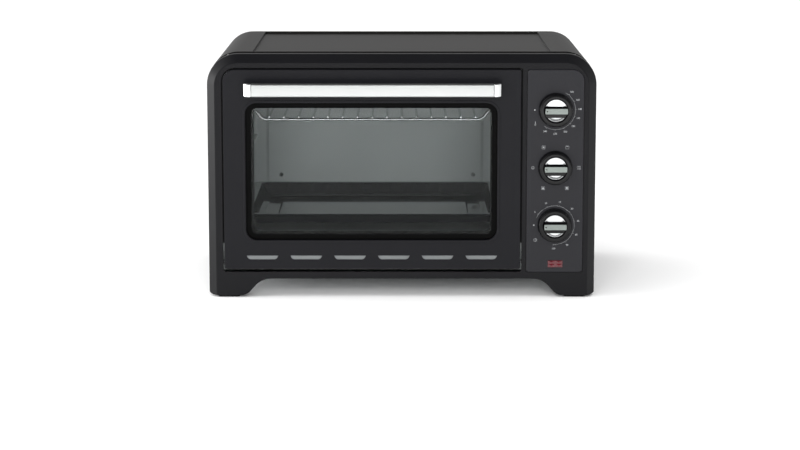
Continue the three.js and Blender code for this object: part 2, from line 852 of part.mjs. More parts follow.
function buildDoor() {
  const group = new THREE.Group();
  group.add(cutPiece('door_frame', doorFrame(), 'doorBlack'));

  const glassFront = door.front + doorSkin + 2.5 + gap;
  const glassBack = glassFront + 4;
  const pane = frontPlate(roundedRectangle(-215.5, 79.5, 133, 275.5, 6), glassFront, glassBack, 3);
  group.add(cutPiece('door_glass', pane, 'clear'));
  const seal = frontPlate(roundedRectangle(-214.5, 80.5, 132, 274.5, 6), glassBack + gap, 10.7, 3)
    .subtract(frontPlate(roundedRectangle(-207, 91, 124.5, 267, 6), 0, 20, 3));
  group.add(cutPiece('glass_seal', seal, 'rubber'));
  group.add(cutPiece('door_inner_frame', doorInnerFrame(), 'enamel'));

  const barShape = roundedRectangle(handle.front, handle.bottom, handle.back, handle.top, 2.5);
  const barLeft = handle.left + handle.endWidth + gap;
  const barRight = handle.right - handle.endWidth - gap;
  group.add(cutPiece('door_handle', sidePlate(barShape, barLeft, barRight, 3), 'aluminium'));

  const ends = [
    { side: 'left', outer: handle.left, inner: handle.left + handle.endWidth, screw: handleScrewX[0] },
    { side: 'right', outer: handle.right, inner: handle.right - handle.endWidth, screw: handleScrewX[1] },
  ];
  for (const { side, outer, inner, screw } of ends) {
    const bore = rod([screw, -15, handleMiddle], [screw, 0, handleMiddle], 2.3, 10);
    group.add(cutPiece(`handle_end_${side}`, handleEnd(outer, inner, 9).subtract(bore), 'chrome'));
    const screwPiece = rod([screw, -14, handleMiddle], [screw, 3, handleMiddle], 2, 10)
      .add(rod([screw, 1.8, handleMiddle], [screw, 4.8, handleMiddle], 4.5, 12));
    group.add(cutPiece(`handle_screw_${side}`, screwPiece, 'steel'));
  }

  for (const [side, sign, x] of [['left', -1, door.left], ['right', 1, door.right]]) {
    const wallInside = x - sign * doorWall;
    const head = [wallInside - sign * (gap + 2), wallInside - sign * gap];
    const pin = rod([head[0], hinge.y, hinge.z], [x + sign * 6.5, hinge.y, hinge.z], hinge.pinRadius, 16)
      .add(rod([head[0], hinge.y, hinge.z], [head[1], hinge.y, hinge.z], 4, 16));
    group.add(cutPiece(`hinge_pin_${side}`, pin, 'steel'));
    const armX = stayArm.places[side];
    const arm = sidePlate(stayArmShape(), armX, armX + stayArm.thickness, 14);
    group.add(cutPiece(`stay_arm_${side}`, arm, 'steel'));
  }
  return group;
}

// The brackets and springs of the door stay in the casing.
function buildHingeHardware() {
  const group = new THREE.Group();
  const bracketSpan = { left: [-254.7, -250.3], right: [168.2, 172.6] };
  for (const [side, [x0, x1]] of Object.entries(bracketSpan)) {
    const bracket = block(x0, x1, frameSkin + gap, linerFront - gap, 40.5, 61.5)
      .subtract(rod([x0 - 1, hinge.y, hinge.z], [x1 + 1, hinge.y, hinge.z], hinge.pinRadius + 0.12, 24));
    group.add(cutPiece(`hinge_bracket_${side}`, bracket, 'steel'));

    const springX = stayArm.places[side] + stayArm.thickness / 2;
    const coil = [new THREE.Vector3(springX, 78, 34)];
    const turns = 5;
    const stepsPerTurn = 6;
    for (let i = 0; i <= turns * stepsPerTurn; i += 1) {
      const angle = (i * 2 * Math.PI) / stepsPerTurn;
      coil.push(new THREE.Vector3(
        springX + 4.2 * Math.sin(angle),
        86 + (i * 6) / stepsPerTurn,
        34 + 4.2 * (1 - Math.cos(angle)) - 4.2,
      ));
    }
    coil.push(new THREE.Vector3(springX, 124, 34));
    group.add(cutPiece(`door_spring_${side}`, wire(coil, 0.8, 4), 'steel'));
  }
  return group;
}

// ---------------------------------------------------------------- Rack and tray

function wireRack() {
  const wireRadius = 2.3;
  const crossRadius = 1.5;
  const side = accessory.left + wireRadius;
  const otherSide = accessory.right - wireRadius;
  const middle = (accessory.front + accessory.back) / 2;
  const high = rackLedge + gap + wireRadius;
  const low = high - 15;
  const half = (endY, overlap) => wire(roundedRoute([
    [side, middle + overlap, high],
    [side, endY, high],
    [side + 17, endY, high],
    [side + 29, endY, low],
    [otherSide - 29, endY, low],
    [otherSide - 17, endY, high],
    [otherSide, endY, high],
    [otherSide, middle + overlap, high],
  ], 6.5), wireRadius, 6);
  let rack = half(accessory.front + wireRadius, 1).add(half(accessory.back - wireRadius, -1));
  const crossWires = 15;
  const firstX = side + 38;
  const pitch = (otherSide - 38 - firstX) / (crossWires - 1);
  const crossZ = low + wireRadius + crossRadius - 0.8;
  for (let i = 0; i < crossWires; i += 1) {
    const x = firstX + i * pitch;
    rack = rack.add(rod([x, accessory.front, crossZ], [x, accessory.back, crossZ], crossRadius, 6));
  }
  return rack;
}

function bakingTray() {
  const skin = 1.2;
  const { left, right, front, back } = accessory;
  const flangeBottom = trayLedge + gap;
  const flangeTop = flangeBottom + skin;
  const depth = 17;
  const rim = 12;
  const outline = (inset, radius) => roundedRectangle(
    left + inset,
    front + inset,
    right - inset,
    back - inset,
    radius,
  );
  const floor = flangeBottom - depth;
  const flange = levelPlate(outline(0, 14), flangeBottom, flangeTop, 4);
  const outer = taperedPan(outline(rim, 12), floor, flangeBottom + 0.5, 6);
  const inner = taperedPan(outline(rim + skin, 11), floor + skin, flangeTop + 1, 6);
  const raised = levelPlate(outline(rim + 34, 6), floor + 0.6, floor + skin + 1.2, 3);
  return flange.add(outer).subtract(inner).add(raised);
}

// ---------------------------------------------------------------- The oven

const oven = new THREE.Group();
oven.position.y = -(handle.front + spacerBack) / 2;   // the origin is under the middle of the whole oven
oven.add(buildCasing(), buildCavity(), buildControlHousings(), buildHingeHardware(), buildDoor());
oven.add(...controls.map(buildKnob));
oven.add(cutPiece('wire_rack', wireRack(), 'chrome'));
oven.add(cutPiece('baking_tray', bakingTray(), 'gloss'));

const rotor = cutPiece('fan_rotor', fanRotor(), 'aluminium');
rotor.position.set(0, fan.y, fan.z);
oven.add(rotor);

export default oven;
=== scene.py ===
import json
import math

import bmesh
import bpy
from mathutils import Matrix, Vector


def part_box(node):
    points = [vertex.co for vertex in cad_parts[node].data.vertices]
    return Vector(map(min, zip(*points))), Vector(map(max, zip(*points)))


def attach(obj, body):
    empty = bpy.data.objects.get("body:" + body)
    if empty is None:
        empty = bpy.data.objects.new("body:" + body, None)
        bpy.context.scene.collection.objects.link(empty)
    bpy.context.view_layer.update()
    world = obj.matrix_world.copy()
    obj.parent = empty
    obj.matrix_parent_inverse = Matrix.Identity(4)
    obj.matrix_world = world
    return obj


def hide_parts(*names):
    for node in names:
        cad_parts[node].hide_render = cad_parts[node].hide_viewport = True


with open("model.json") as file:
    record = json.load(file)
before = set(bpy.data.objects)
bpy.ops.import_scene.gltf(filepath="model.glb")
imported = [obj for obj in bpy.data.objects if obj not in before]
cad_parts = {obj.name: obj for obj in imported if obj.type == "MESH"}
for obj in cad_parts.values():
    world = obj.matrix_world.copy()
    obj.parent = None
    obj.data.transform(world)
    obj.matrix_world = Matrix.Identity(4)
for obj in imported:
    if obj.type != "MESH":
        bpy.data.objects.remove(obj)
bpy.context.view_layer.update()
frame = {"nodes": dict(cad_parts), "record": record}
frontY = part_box("front_frame")[0].y  # the plane of the oven's face
print("frame loaded:", len(frame["nodes"]), "nodes")

# Pieces are drawn in millimetres, with Y counted back from the oven's face, and turned to metres at the end.


def nodeEdges(node):  # a CAD node's box in millimetres
    low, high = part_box(node)
    shift = Vector((0, frontY, 0))
    return (low - shift) * 1000, (high - shift) * 1000


def linear(hexColour):  # an sRGB hex value as linear colour
    channels = [int(hexColour[i:i + 2], 16) / 255 for i in (1, 3, 5)]
    return [c / 12.92 if c <= 0.04045 else ((c + 0.055) / 1.055) ** 2.4 for c in channels] + [1]


def addNode(tree, kind, settings=None, links=None, **attributes):
    node = tree.nodes.new("ShaderNode" + kind)
    for key, value in attributes.items():
        setattr(node, key, value)
    for key, value in (settings or {}).items():
        node.inputs[key].default_value = value
    for key, source in (links or {}).items():  # a socket, or a node for its first output
        tree.links.new(getattr(source, "outputs", [source])[0], node.inputs[key])
    return node


def startFinish(name):
    finish = bpy.data.materials.new(name)
    finish.use_nodes = True
    tree = finish.node_tree
    tree.nodes.clear()
    place = addNode(tree, "TexCoord").outputs["Object"]
    return finish, tree, place


def endFinish(finish, shader):
    addNode(finish.node_tree, "OutputMaterial", links={"Surface": shader})
    return finish


def grainScale(sizeMm):  # Noise texture scale for grains of a real size
    return 1000 / sizeMm


def sprayedPaint(name, colour, darker, roughness, grainMm, relief, specular=0.22):
    # stoving paint sprayed on steel: even colour, faint orange peel, sheen that varies a little
    finish, tree, place = startFinish(name)
    broad = addNode(tree, "TexNoise", {"Scale": grainScale(60), "Detail": 3}, {"Vector": place})
    grain = addNode(tree, "TexNoise", {"Scale": grainScale(grainMm), "Detail": 4, "Roughness": 0.6},
                    {"Vector": place})
    tint = addNode(tree, "Mix", {6: linear(darker), 7: linear(colour)},
                   {0: broad}, data_type="RGBA")
    sheen = addNode(tree, "MapRange", {"To Min": roughness - 0.05, "To Max": roughness + 0.05},
                    {"Value": grain})
    bump = addNode(tree, "Bump", {"Strength": relief, "Distance": grainMm * 0.0001},
                   {"Height": grain})
    shader = addNode(tree, "BsdfPrincipled", {"Specular IOR Level": specular},
                     {"Base Color": tint.outputs[2], "Roughness": sheen, "Normal": bump})
    return endFinish(finish, shader)


def mouldedPlastic(name, colour, roughness, textureMm, relief, specular=0.25):
    # injection-moulded plastic: spark-eroded mould texture, colour all through
    finish, tree, place = startFinish(name)
    texture = addNode(tree, "TexNoise", {"Scale": grainScale(textureMm), "Detail": 5},
                      {"Vector": place})
    cells = addNode(tree, "TexVoronoi", {"Scale": grainScale(textureMm * 1.4)}, {"Vector": place})
    height = addNode(tree, "Math", {}, {0: texture, 1: cells},
                     operation="MULTIPLY")
    sheen = addNode(tree, "MapRange", {"To Min": roughness - 0.06, "To Max": roughness + 0.06},
                    {"Value": texture})
    bump = addNode(tree, "Bump", {"Strength": relief, "Distance": 0.0001}, {"Height": height})
    shader = addNode(tree, "BsdfPrincipled",
                     {"Base Color": linear(colour), "Specular IOR Level": specular},
                     {"Roughness": sheen, "Normal": bump})
    return endFinish(finish, shader)


def workedMetal(name, colour, roughness, grainMm, along, relief, anisotropy=0.0):
    # metal with the lines of its working: along stretches the grain in X, Y and Z
    finish, tree, place = startFinish(name)
    stretch = addNode(tree, "Mapping", {"Scale": along}, {"Vector": place})
    lines = addNode(tree, "TexNoise", {"Scale": grainScale(grainMm), "Detail": 5, "Roughness": 0.65},
                    {"Vector": stretch})
    tone = addNode(tree, "MapRange", {"To Min": 0.86, "To Max": 1.04}, {"Value": lines})
    tint = addNode(tree, "VectorMath", {0: linear(colour)[:3]}, {"Scale": tone},
                   operation="SCALE")
    sheen = addNode(tree, "MapRange", {"To Min": roughness * 0.75, "To Max": roughness * 1.25},
                    {"Value": lines})
    bump = addNode(tree, "Bump", {"Strength": relief, "Distance": 0.00005},
                   {"Height": lines})
    shader = addNode(tree, "BsdfPrincipled", {"Metallic": 1.0, "Anisotropic": anisotropy},
                     {"Base Color": tint, "Roughness": sheen, "Normal": bump})
    return endFinish(finish, shader)


def toughenedGlass(name):
    # float glass, toughened: clear with a faint green body, sharp reflections, a little dust
    finish, tree, place = startFinish(name)
    dust = addNode(tree, "TexNoise", {"Scale": grainScale(25), "Detail": 6}, {"Vector": place})
    smear = addNode(tree, "MapRange", {"To Min": 0.01, "To Max": 0.06}, {"Value": dust})
    clear = addNode(tree, "BsdfTransparent", {"Color": linear("#f1f2f2")})
    mirror = addNode(tree, "BsdfGlossy", {"Color": (0.8, 0.83, 0.82, 1)}, {"Roughness": smear})
    facing = addNode(tree, "Fresnel", {"IOR": 1.2})
    shader = addNode(tree, "MixShader", {},
                     {0: facing, 1: clear, 2: mirror})
    return endFinish(finish, shader)


def vitreousEnamel(name, colour):
    # glass fused on steel: deep black, wet gloss, long gentle waves
    finish, tree, place = startFinish(name)
    waves = addNode(tree, "TexNoise", {"Scale": grainScale(22), "Detail": 2}, {"Vector": place})
    specks = addNode(tree, "TexNoise", {"Scale": grainScale(1.5), "Detail": 2}, {"Vector": place})
    sheen = addNode(tree, "MapRange", {"To Min": 0.05, "To Max": 0.14}, {"Value": specks})
    bump = addNode(tree, "Bump", {"Strength": 0.15, "Distance": 0.0008}, {"Height": waves})
    shader = addNode(tree, "BsdfPrincipled",
                     {"Base Color": linear(colour), "Coat Weight": 0.6, "Coat Roughness": 0.04},
                     {"Roughness": sheen, "Normal": bump})
    return endFinish(finish, shader)


def cavityCoating(name):
    # grey non-stick coating rolled on sheet steel: fine flecks, soft sheen, broad random patches a little darker
    # or lighter
    finish, tree, place = startFinish(name)
    flecks = addNode(tree, "TexNoise", {"Scale": grainScale(1.2), "Detail": 4}, {"Vector": place})
    clouds = addNode(tree, "TexNoise", {"Scale": grainScale(90), "Detail": 2}, {"Vector": place})
    tint = addNode(tree, "Mix", {6: linear("#a0a5a4"), 7: linear("#b8bdbc")},
                   {0: flecks}, data_type="RGBA")
    shade = addNode(tree, "MapRange", {"To Min": 0.85, "To Max": 1.05}, {"Value": clouds})
    body = addNode(tree, "VectorMath", {}, {0: tint.outputs[2], "Scale": shade},
                   operation="SCALE")
    bump = addNode(tree, "Bump", {"Strength": 0.1, "Distance": 0.0001},
                   {"Height": flecks})
    shader = addNode(tree, "BsdfPrincipled", {"Roughness": 0.36, "Metallic": 0.25},
                     {"Base Color": body, "Normal": bump})
    return endFinish(finish, shader)


def clearRed(name):
    # clear red acrylic: bright facets over a dark lamp
    finish, tree, place = startFinish(name)
    depth = addNode(tree, "TexNoise", {"Scale": grainScale(4), "Detail": 1}, {"Vector": place})
    tint = addNode(tree, "Mix", {6: linear("#22040a"), 7: linear("#5e101b")},
                   {0: depth}, data_type="RGBA")
    shader = addNode(tree, "BsdfPrincipled",
                     {"Roughness": 0.12, "IOR": 1.49, "Coat Weight": 0.5, "Coat Roughness": 0.05},
                     {"Base Color": tint.outputs[2]})
    return endFinish(finish, shader)


def firedCeramic(name, colour):
    # unglazed steatite: chalky, slightly mottled
    finish, tree, place = startFinish(name)
    mottle = addNode(tree, "TexNoise", {"Scale": grainScale(3), "Detail": 4}, {"Vector": place})
    tone = addNode(tree, "MapRange", {"To Min": 0.85, "To Max": 1.0}, {"Value": mottle})
    tint = addNode(tree, "VectorMath", {0: linear(colour)[:3]}, {"Scale": tone},
                   operation="SCALE")
    shader = addNode(tree, "BsdfPrincipled", {"Roughness": 0.75}, {"Base Color": tint})
    return endFinish(finish, shader)


finishes = {
    "frame_black": sprayedPaint("satinStovePaint", "#101012", "#0d0d0f", 0.34, 1.1, 0.12, 0.16),
    "cover_black": sprayedPaint("crinkleStovePaint", "#161514", "#121110", 0.42, 0.9, 0.3, 0.26),
    "door_black": sprayedPaint("satinDoorPaint", "#121215", "#0f0f12", 0.36, 1.1, 0.1, 0.16),
    "inner_steel": sprayedPaint("heatproofPaint", "#1a1b1b", "#151616", 0.5, 1.4, 0.2),
    "panel_grey": mouldedPlastic("satinMouldedPanel", "#1c1c1f", 0.42, 0.7, 0.25),
    "knob_black": mouldedPlastic("glossMouldedSkirt", "#070708", 0.16, 0.8, 0.05, 0.25),
    "black_plastic": mouldedPlastic("mattMouldedPlastic", "#1c1c1e", 0.5, 0.8, 0.3),
    "rubber": mouldedPlastic("mattRubber", "#171717", 0.8, 1.2, 0.4),
    "brushed_handle": workedMetal("brushedAluminium", "#c2c4c3", 0.3, 0.5, (0.02, 1, 1), 0.25, 0.5),
    "knob_silver": workedMetal("satinChromePlate", "#dfe1e2", 0.16, 2.0, (1, 1, 1), 0.04),
    "chrome_ends": workedMetal("brightChromePlate", "#e2e4e4", 0.08, 4.0, (1, 1, 1), 0.03),
    "rack_chrome": workedMetal("chromePlatedWire", "#d6d9da", 0.14, 3.0, (1, 1, 1), 0.05),
    "zinc_steel": workedMetal("galvanisedSheet", "#a7abac", 0.4, 6.0, (1, 1, 1), 0.12),
    "spring_steel": workedMetal("oiledSpringSteel", "#7d7e80", 0.35, 1.0, (1, 1, 1), 0.1),
    "element_sheath": workedMetal("heatDarkenedSheath", "#4c4846", 0.5, 1.5, (0.2, 1, 1), 0.2),
    "copper_tube": workedMetal("drawnCopperTube", "#b8734d", 0.3, 2.0, (1, 1, 1), 0.1),
    "brass_bell": workedMetal("pressedBrass", "#c39a4b", 0.28, 2.0, (1, 1, 1), 0.08),
    "fan_aluminium": workedMetal("rolledAluminium", "#b9bcbe", 0.38, 1.0, (1, 1, 0.1), 0.15),
    "door_glass": toughenedGlass("toughenedGlass"),
    "lamp_glass": firedCeramic("frostedLampGlass", "#f0cdb4"),
    "cavity_coating": cavityCoating("nonStickCoating"),
    "tray_enamel": vitreousEnamel("blackVitreousEnamel", "#0e0e10"),
    "ceramic": firedCeramic("steatiteCeramic", "#ddd6c6"),
    "red_lens": clearRed("clearRedAcrylic"),
}
printInk = firedCeramic("whitePrintInk", "#a2a4a6")
# black band round the edge of the door glass
glassEdgeBlack = mouldedPlastic("blackGlassEdge", "#020202", 0.3, 2, 0.05, 0.05)
for row in frame["record"]["subparts"]:  # every CAD node gets its finish
    node = frame["nodes"][row["node"]]
    node.data.materials.clear()
    node.data.materials.append(finishes[row["material_slot"]])
print("finishes made:", len(finishes))


past = 5  # how far a cutter runs past the piece


def frontPoint(a, b):  # an outline seen from the front
    return (a, 0, b)


def planPoint(a, b):  # an outline seen from above
    return (a, b, 0)


def sidePoint(a, b):  # an outline seen from the side, back to the right
    return (0, a, b)


def rectangle(left, bottom, right, top):
    return [(left, bottom), (right, bottom), (right, top), (left, top)]


def addObject(name, data):
    made = bpy.data.objects.new(name, data)
    bpy.context.scene.collection.objects.link(made)
    return made


def finalMesh(thing):  # a copy of its mesh with modifiers and curves worked out
    return bpy.data.meshes.new_from_object(thing.evaluated_get(bpy.context.evaluated_depsgraph_get()))


def shiftNew(bm, made, shift):  # moves what an extrusion has just made
    bmesh.ops.translate(bm, verts=[v for v in made["geom"] if isinstance(v, bmesh.types.BMVert)], vec=shift)


def pourInto(bm, part):  # adds one bmesh to another
    mesh = bpy.data.meshes.new("part")
    part.to_mesh(mesh)
    part.free()
    bm.from_mesh(mesh)
    bpy.data.meshes.remove(mesh)
    return bm


def roundCorners(bm, verts, radii, steps):
    if not isinstance(radii, list):
        radii = [radii] * len(verts)
    for vert, radius in zip(verts, radii):
        if radius:
            bmesh.ops.bevel(bm, geom=[vert], offset=radius, offset_type="OFFSET", affect="VERTICES",
                            segments=steps, profile=0.5, material=-1)


def roundEdges(bm, edges, width, steps):
    bmesh.ops.bevel(bm, geom=edges, offset=width, offset_type="OFFSET", affect="EDGES", segments=steps,
                    profile=0.5, material=-1)


def outlineFace(bm, corners, radii=0, toPoint=frontPoint, steps=10):
    verts = [bm.verts.new(toPoint(a, b)) for a, b in corners]
    bm.faces.new(verts)
    roundCorners(bm, verts, radii, steps)


def slab(corners, radii, start, end, toPoint=frontPoint, steps=8, bm=None):
    # a rounded outline made solid from start to end, across its own plane
    part = bmesh.new()
    outlineFace(part, corners, radii, toPoint, steps)
    across = Vector({frontPoint: (0, 1, 0), planPoint: (0, 0, 1), sidePoint: (1, 0, 0)}[toPoint])
    bmesh.ops.translate(part, verts=part.verts, vec=across * start)
    made = bmesh.ops.extrude_face_region(part, geom=part.faces[:])
    shiftNew(part, made, across * (end - start))
    bmesh.ops.recalc_face_normals(part, faces=part.faces)
    return part if bm is None else pourInto(bm, part)


def roundedLoop(left, bottom, right, top, radius, steps=8):
    points = []
    left, bottom, right, top = left + radius, bottom + radius, right - radius, top - radius
    for middleA, middleB, start in ((right, top, 0), (left, top, 90), (left, bottom, 180), (right, bottom, 270)):
        for i in range(steps + 1):
            angle = math.radians(start + 90 * i / steps)
            points.append((middleA + radius * math.cos(angle), middleB + radius * math.sin(angle)))
    return points


def loft(rings):
    # a skin through rings of points with a face over the last one
    bm = bmesh.new()
    loops = [[bm.verts.new(point) for point in ring] for ring in rings]
    for lower, upper in zip(loops, loops[1:]):
        for i in range(len(lower)):
            following = (i + 1) % len(lower)
            bm.faces.new((lower[i], lower[following], upper[following], upper[i]))
    bm.faces.new(loops[-1])
    return bm


def toObject(bm):  # millimetres to metres, into the oven's place
    bmesh.ops.scale(bm, vec=(0.001, 0.001, 0.001), verts=bm.verts)
    bmesh.ops.translate(bm, vec=(0, frontY, 0), verts=bm.verts)
    mesh = bpy.data.meshes.new("piece")
    bm.to_mesh(mesh)
    bm.free()
    return addObject("piece", mesh)


def settle(piece):  # makes the piece's modifiers real
    mesh = finalMesh(piece)
    piece.modifiers.clear()
    piece.data = mesh


def combine(piece, tools, operation="DIFFERENCE"):
    # cuts the piece with each tool, a bmesh or an object, or adds or overlaps them
    for tool in tools:
        toolObject = tool if isinstance(tool, bpy.types.Object) else toObject(tool)
        modifier = piece.modifiers.new("combine", "BOOLEAN")
        modifier.operation = operation
        modifier.solver = "EXACT"
        modifier.object = toolObject
        settle(piece)
        bpy.data.objects.remove(toolObject)


def soften(piece, edge, segments=3, sharp=32, lasting=False):
    # rounds the piece's sharp edges; cuts come after this, because a cut leaves faces that don't round well
    bevel = piece.modifiers.new("soft edges", "BEVEL")
    bevel.width = edge / 1000
    bevel.segments = segments
    bevel.limit_method = "ANGLE"
    bevel.angle_limit = math.radians(sharp)
    if not lasting:
        settle(piece)


def thicken(piece, sheet):  # a skin made into sheet, inwards from its outer face
    modifier = piece.modifiers.new("sheet", "SOLIDIFY")
    modifier.thickness = sheet / 1000
    modifier.offset = -1
    settle(piece)


def pressing(rings, facing, sheet):
    # a sheet pressed through rings of points, with its last face towards facing
    bm = loft(rings)
    bm.normal_update()
    bm.faces.ensure_lookup_table()
    if bm.faces[-1].normal.dot(Vector(facing)) < 0:
        bmesh.ops.reverse_faces(bm, faces=bm.faces)
    piece = toObject(bm)
    thicken(piece, sheet)
    return piece


def dress(piece, name, body, slotName, replaced=(), edge=0.0, segments=3, finish=None, sharp=32):
    # gives a piece its finish, soft edges, body and name
    piece.name = name
    piece.data.name = name
    piece.data.materials.clear()
    piece.data.materials.append(finish or finishes[slotName])
    for polygon in piece.data.polygons:
        polygon.use_smooth = True
    piece.data.set_sharp_from_angle(angle=math.radians(sharp))
    if edge:
        soften(piece, edge, segments, sharp, lasting=True)
    weighted = piece.modifiers.new("flat faces", "WEIGHTED_NORMAL")
    weighted.keep_sharp = True
    weighted.weight = 90
    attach(piece, body)
    if replaced:
        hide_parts(*replaced)


def softened(node, body, slotName, edge):
    # a plain CAD node's own shape, merged and with its edges softened
    bm = bmesh.new()
    bm.from_mesh(frame["nodes"][node].data)
    bmesh.ops.remove_doubles(bm, verts=bm.verts, dist=0.00001)
    bmesh.ops.dissolve_limit(bm, angle_limit=math.radians(1), verts=bm.verts, edges=bm.edges)
    mesh = bpy.data.meshes.new(node)
    bm.to_mesh(mesh)
    bm.free()
    dress(addObject(node, mesh), node + "_piece", body, slotName, [node], edge, 2)


def turned(profile, centre, steps=64):
    # a closed profile of (radius, y) turned about the Y axis through centre
    bm = bmesh.new()
    verts = [bm.verts.new((radius, y, 0)) for radius, y in profile]
    edges = [bm.edges.new((verts[i], verts[i + 1])) for i in range(len(verts) - 1)]
    if profile[0][0] > 0:
        edges.append(bm.edges.new((verts[-1], verts[0])))
    bmesh.ops.spin(bm, geom=verts + edges, axis=(0, 1, 0), cent=(0, 0, 0), angle=math.tau, steps=steps,
                   use_merge=True)
    bmesh.ops.remove_doubles(bm, verts=bm.verts, dist=0.001)
    bmesh.ops.recalc_face_normals(bm, faces=bm.faces)
    bmesh.ops.translate(bm, verts=bm.verts, vec=centre)
    return bm


def cylinder(start, end, radius, steps=32, bm=None):
    # a round bar between two points
    start, end = Vector(start), Vector(end)
    bm = bm or bmesh.new()
    turn = Vector((0, 0, 1)).rotation_difference(end - start).to_matrix().to_4x4()
    matrix = Matrix.Translation((start + end) / 2) @ turn
    bmesh.ops.create_cone(bm, cap_ends=True, segments=steps, radius1=radius, radius2=radius,
                          depth=(end - start).length, matrix=matrix)
    return bm


def roundHole(middle, start, end, radius, steps=32):  # a round cutter along Y, past both ends
    return cylinder((middle.x, start - past, middle.z), (middle.x, end + past, middle.z), radius, steps)


def brick(low, high, bm=None):
    bm = bm or bmesh.new()
    low, high = Vector(low), Vector(high)
    size = high - low
    matrix = Matrix.Translation((low + high) / 2) @ Matrix.Diagonal((*size, 1))
    bmesh.ops.create_cube(bm, size=1, matrix=matrix)
    return bm


camera = {"distance": 3.231, "height": 0.645, "aside": -0.0024, "lens": 105.75, "pitch": 9.53}


def makeCamera():
    data = bpy.data.cameras.new("frontView")
    data.lens = camera["lens"]
    data.sensor_width = 36
    view = addObject("frontView", data)
    view.location = (camera["aside"], frontY - camera["distance"], camera["height"])
    view.rotation_euler = (math.radians(90 - camera["pitch"]), 0, 0)
    bpy.context.scene.camera = view


lamps = {  # place, target, size, power in watts
    "frontFill": ((0.0, -3.0, 0.9), (-0.04, 0.1, 0.2), (1.6, 1.1), 84),
    "leftStrip": ((-1.6, -0.25, 0.36), (-0.27, -0.17, 0.2), (1.2, 0.7), 9),
}
sun = {"strength": 2.3, "spread": 100, "tilt": 14, "turn": -14}
walls = {"X": (3.2, 1.1), "Y": (0.3, 0.6), "Z": (0.5, 0.04)}  # glow of the studio on both sides of each axis


def addLamp(data, place, rotation, mirrored=False):
    lamp = addObject(data.name, data)
    lamp.location = place
    lamp.rotation_euler = rotation
    lamp.visible_glossy = mirrored


def makeLamps():
    for name, (place, target, size, power) in lamps.items():
        data = bpy.data.lights.new(name, "AREA")
        data.shape = "RECTANGLE"
        data.size, data.size_y = size
        data.energy = power
        rotation = (Vector(target) - Vector(place)).to_track_quat("-Z", "Y").to_euler()
        addLamp(data, place, rotation, name == "leftStrip")
    data = bpy.data.lights.new("softOverhead", "SUN")
    data.energy = sun["strength"]
    data.angle = math.radians(sun["spread"])
    addLamp(data, (0, 0, 3), (math.radians(sun["tilt"]), 0, math.radians(sun["turn"])))


def makeWorld():
    world = bpy.data.worlds.new("studioWalls")
    world.use_nodes = True
    tree = world.node_tree
    tree.nodes.clear()
    direction = addNode(tree, "TexCoord").outputs["Generated"]
    parts = addNode(tree, "SeparateXYZ", links={0: direction})
    total = None
    for axis, (low, high) in walls.items():
        part = parts.outputs[axis]
        square = addNode(tree, "Math", links={0: part, 1: part}, operation="MULTIPLY")
        side = addNode(tree, "Math", {1: 0}, {0: part}, operation="GREATER_THAN")
        glow = addNode(tree, "MapRange", {"To Min": low, "To Max": high}, {"Value": side})
        term = addNode(tree, "Math", links={0: square, 1: glow},
                       operation="MULTIPLY")
        if total:
            term = addNode(tree, "Math", links={0: total, 1: term})
        total = term
    sky = addNode(tree, "Background", links={"Strength": total})
    addNode(tree, "OutputWorld", links={"Surface": sky})
    bpy.context.scene.world = world
    bpy.context.scene.view_settings.view_transform = "Standard"


def makeFloor():
    bm = bmesh.new()
    bmesh.ops.create_grid(bm, x_segments=1, y_segments=1, size=14)
    mesh = bpy.data.meshes.new("floor")
    bm.to_mesh(mesh)
    bm.free()
    floor = addObject("floor", mesh)
    finish, tree, place = startFinish("paintedStudioFloor")  # matt white paint, faintly uneven
    uneven = addNode(tree, "TexNoise", {"Scale": 3, "Detail": 3}, {"Vector": place})
    tint = addNode(tree, "Mix", {6: linear("#f4f4f4"), 7: linear("#fafafa")},
                   {0: uneven}, data_type="RGBA")
    shader = addNode(tree, "BsdfPrincipled", {"Roughness": 0.8}, {"Base Color": tint.outputs[2]})
    mesh.materials.append(endFinish(finish, shader))


makeCamera()
makeLamps()
makeWorld()
makeFloor()
print("camera, lamps and floor made")


casing = {"corner": 43, "band": 11, "edge": 1.0, "skin": 5, "wall": 4, "rimDepth": 13, "hollowBottom": 12,
          "footRound": 9, "footHeight": 3, "archFoot": 217, "archTop": 196, "archRise": 26.5, "archRound": 12,
          "archToe": 7, "cutCorner": 4, "doorGap": 2.2, "doorGapBelow": 4.6, "doorCorner": 19, "panelGap": 0.4,
          "panelCorner": 16.4}


def archTool(margin, back):
    foot = casing["archFoot"] + margin
    top = casing["archTop"] + margin
    rise = casing["archRise"] + margin
    low = casing["footHeight"] + margin
    side, under = foot + 9, -40  # well outside the legs and below the floor
    corners = [(-side, under), (side, under), (side, low), (foot, low), (top, rise), (-top, rise),
               (-foot, low), (-side, low)]
    rounding, toe = casing["archRound"], casing["archToe"]
    return slab(corners, [0, 0, 0, toe, rounding, rounding, toe, 0], -past, back)


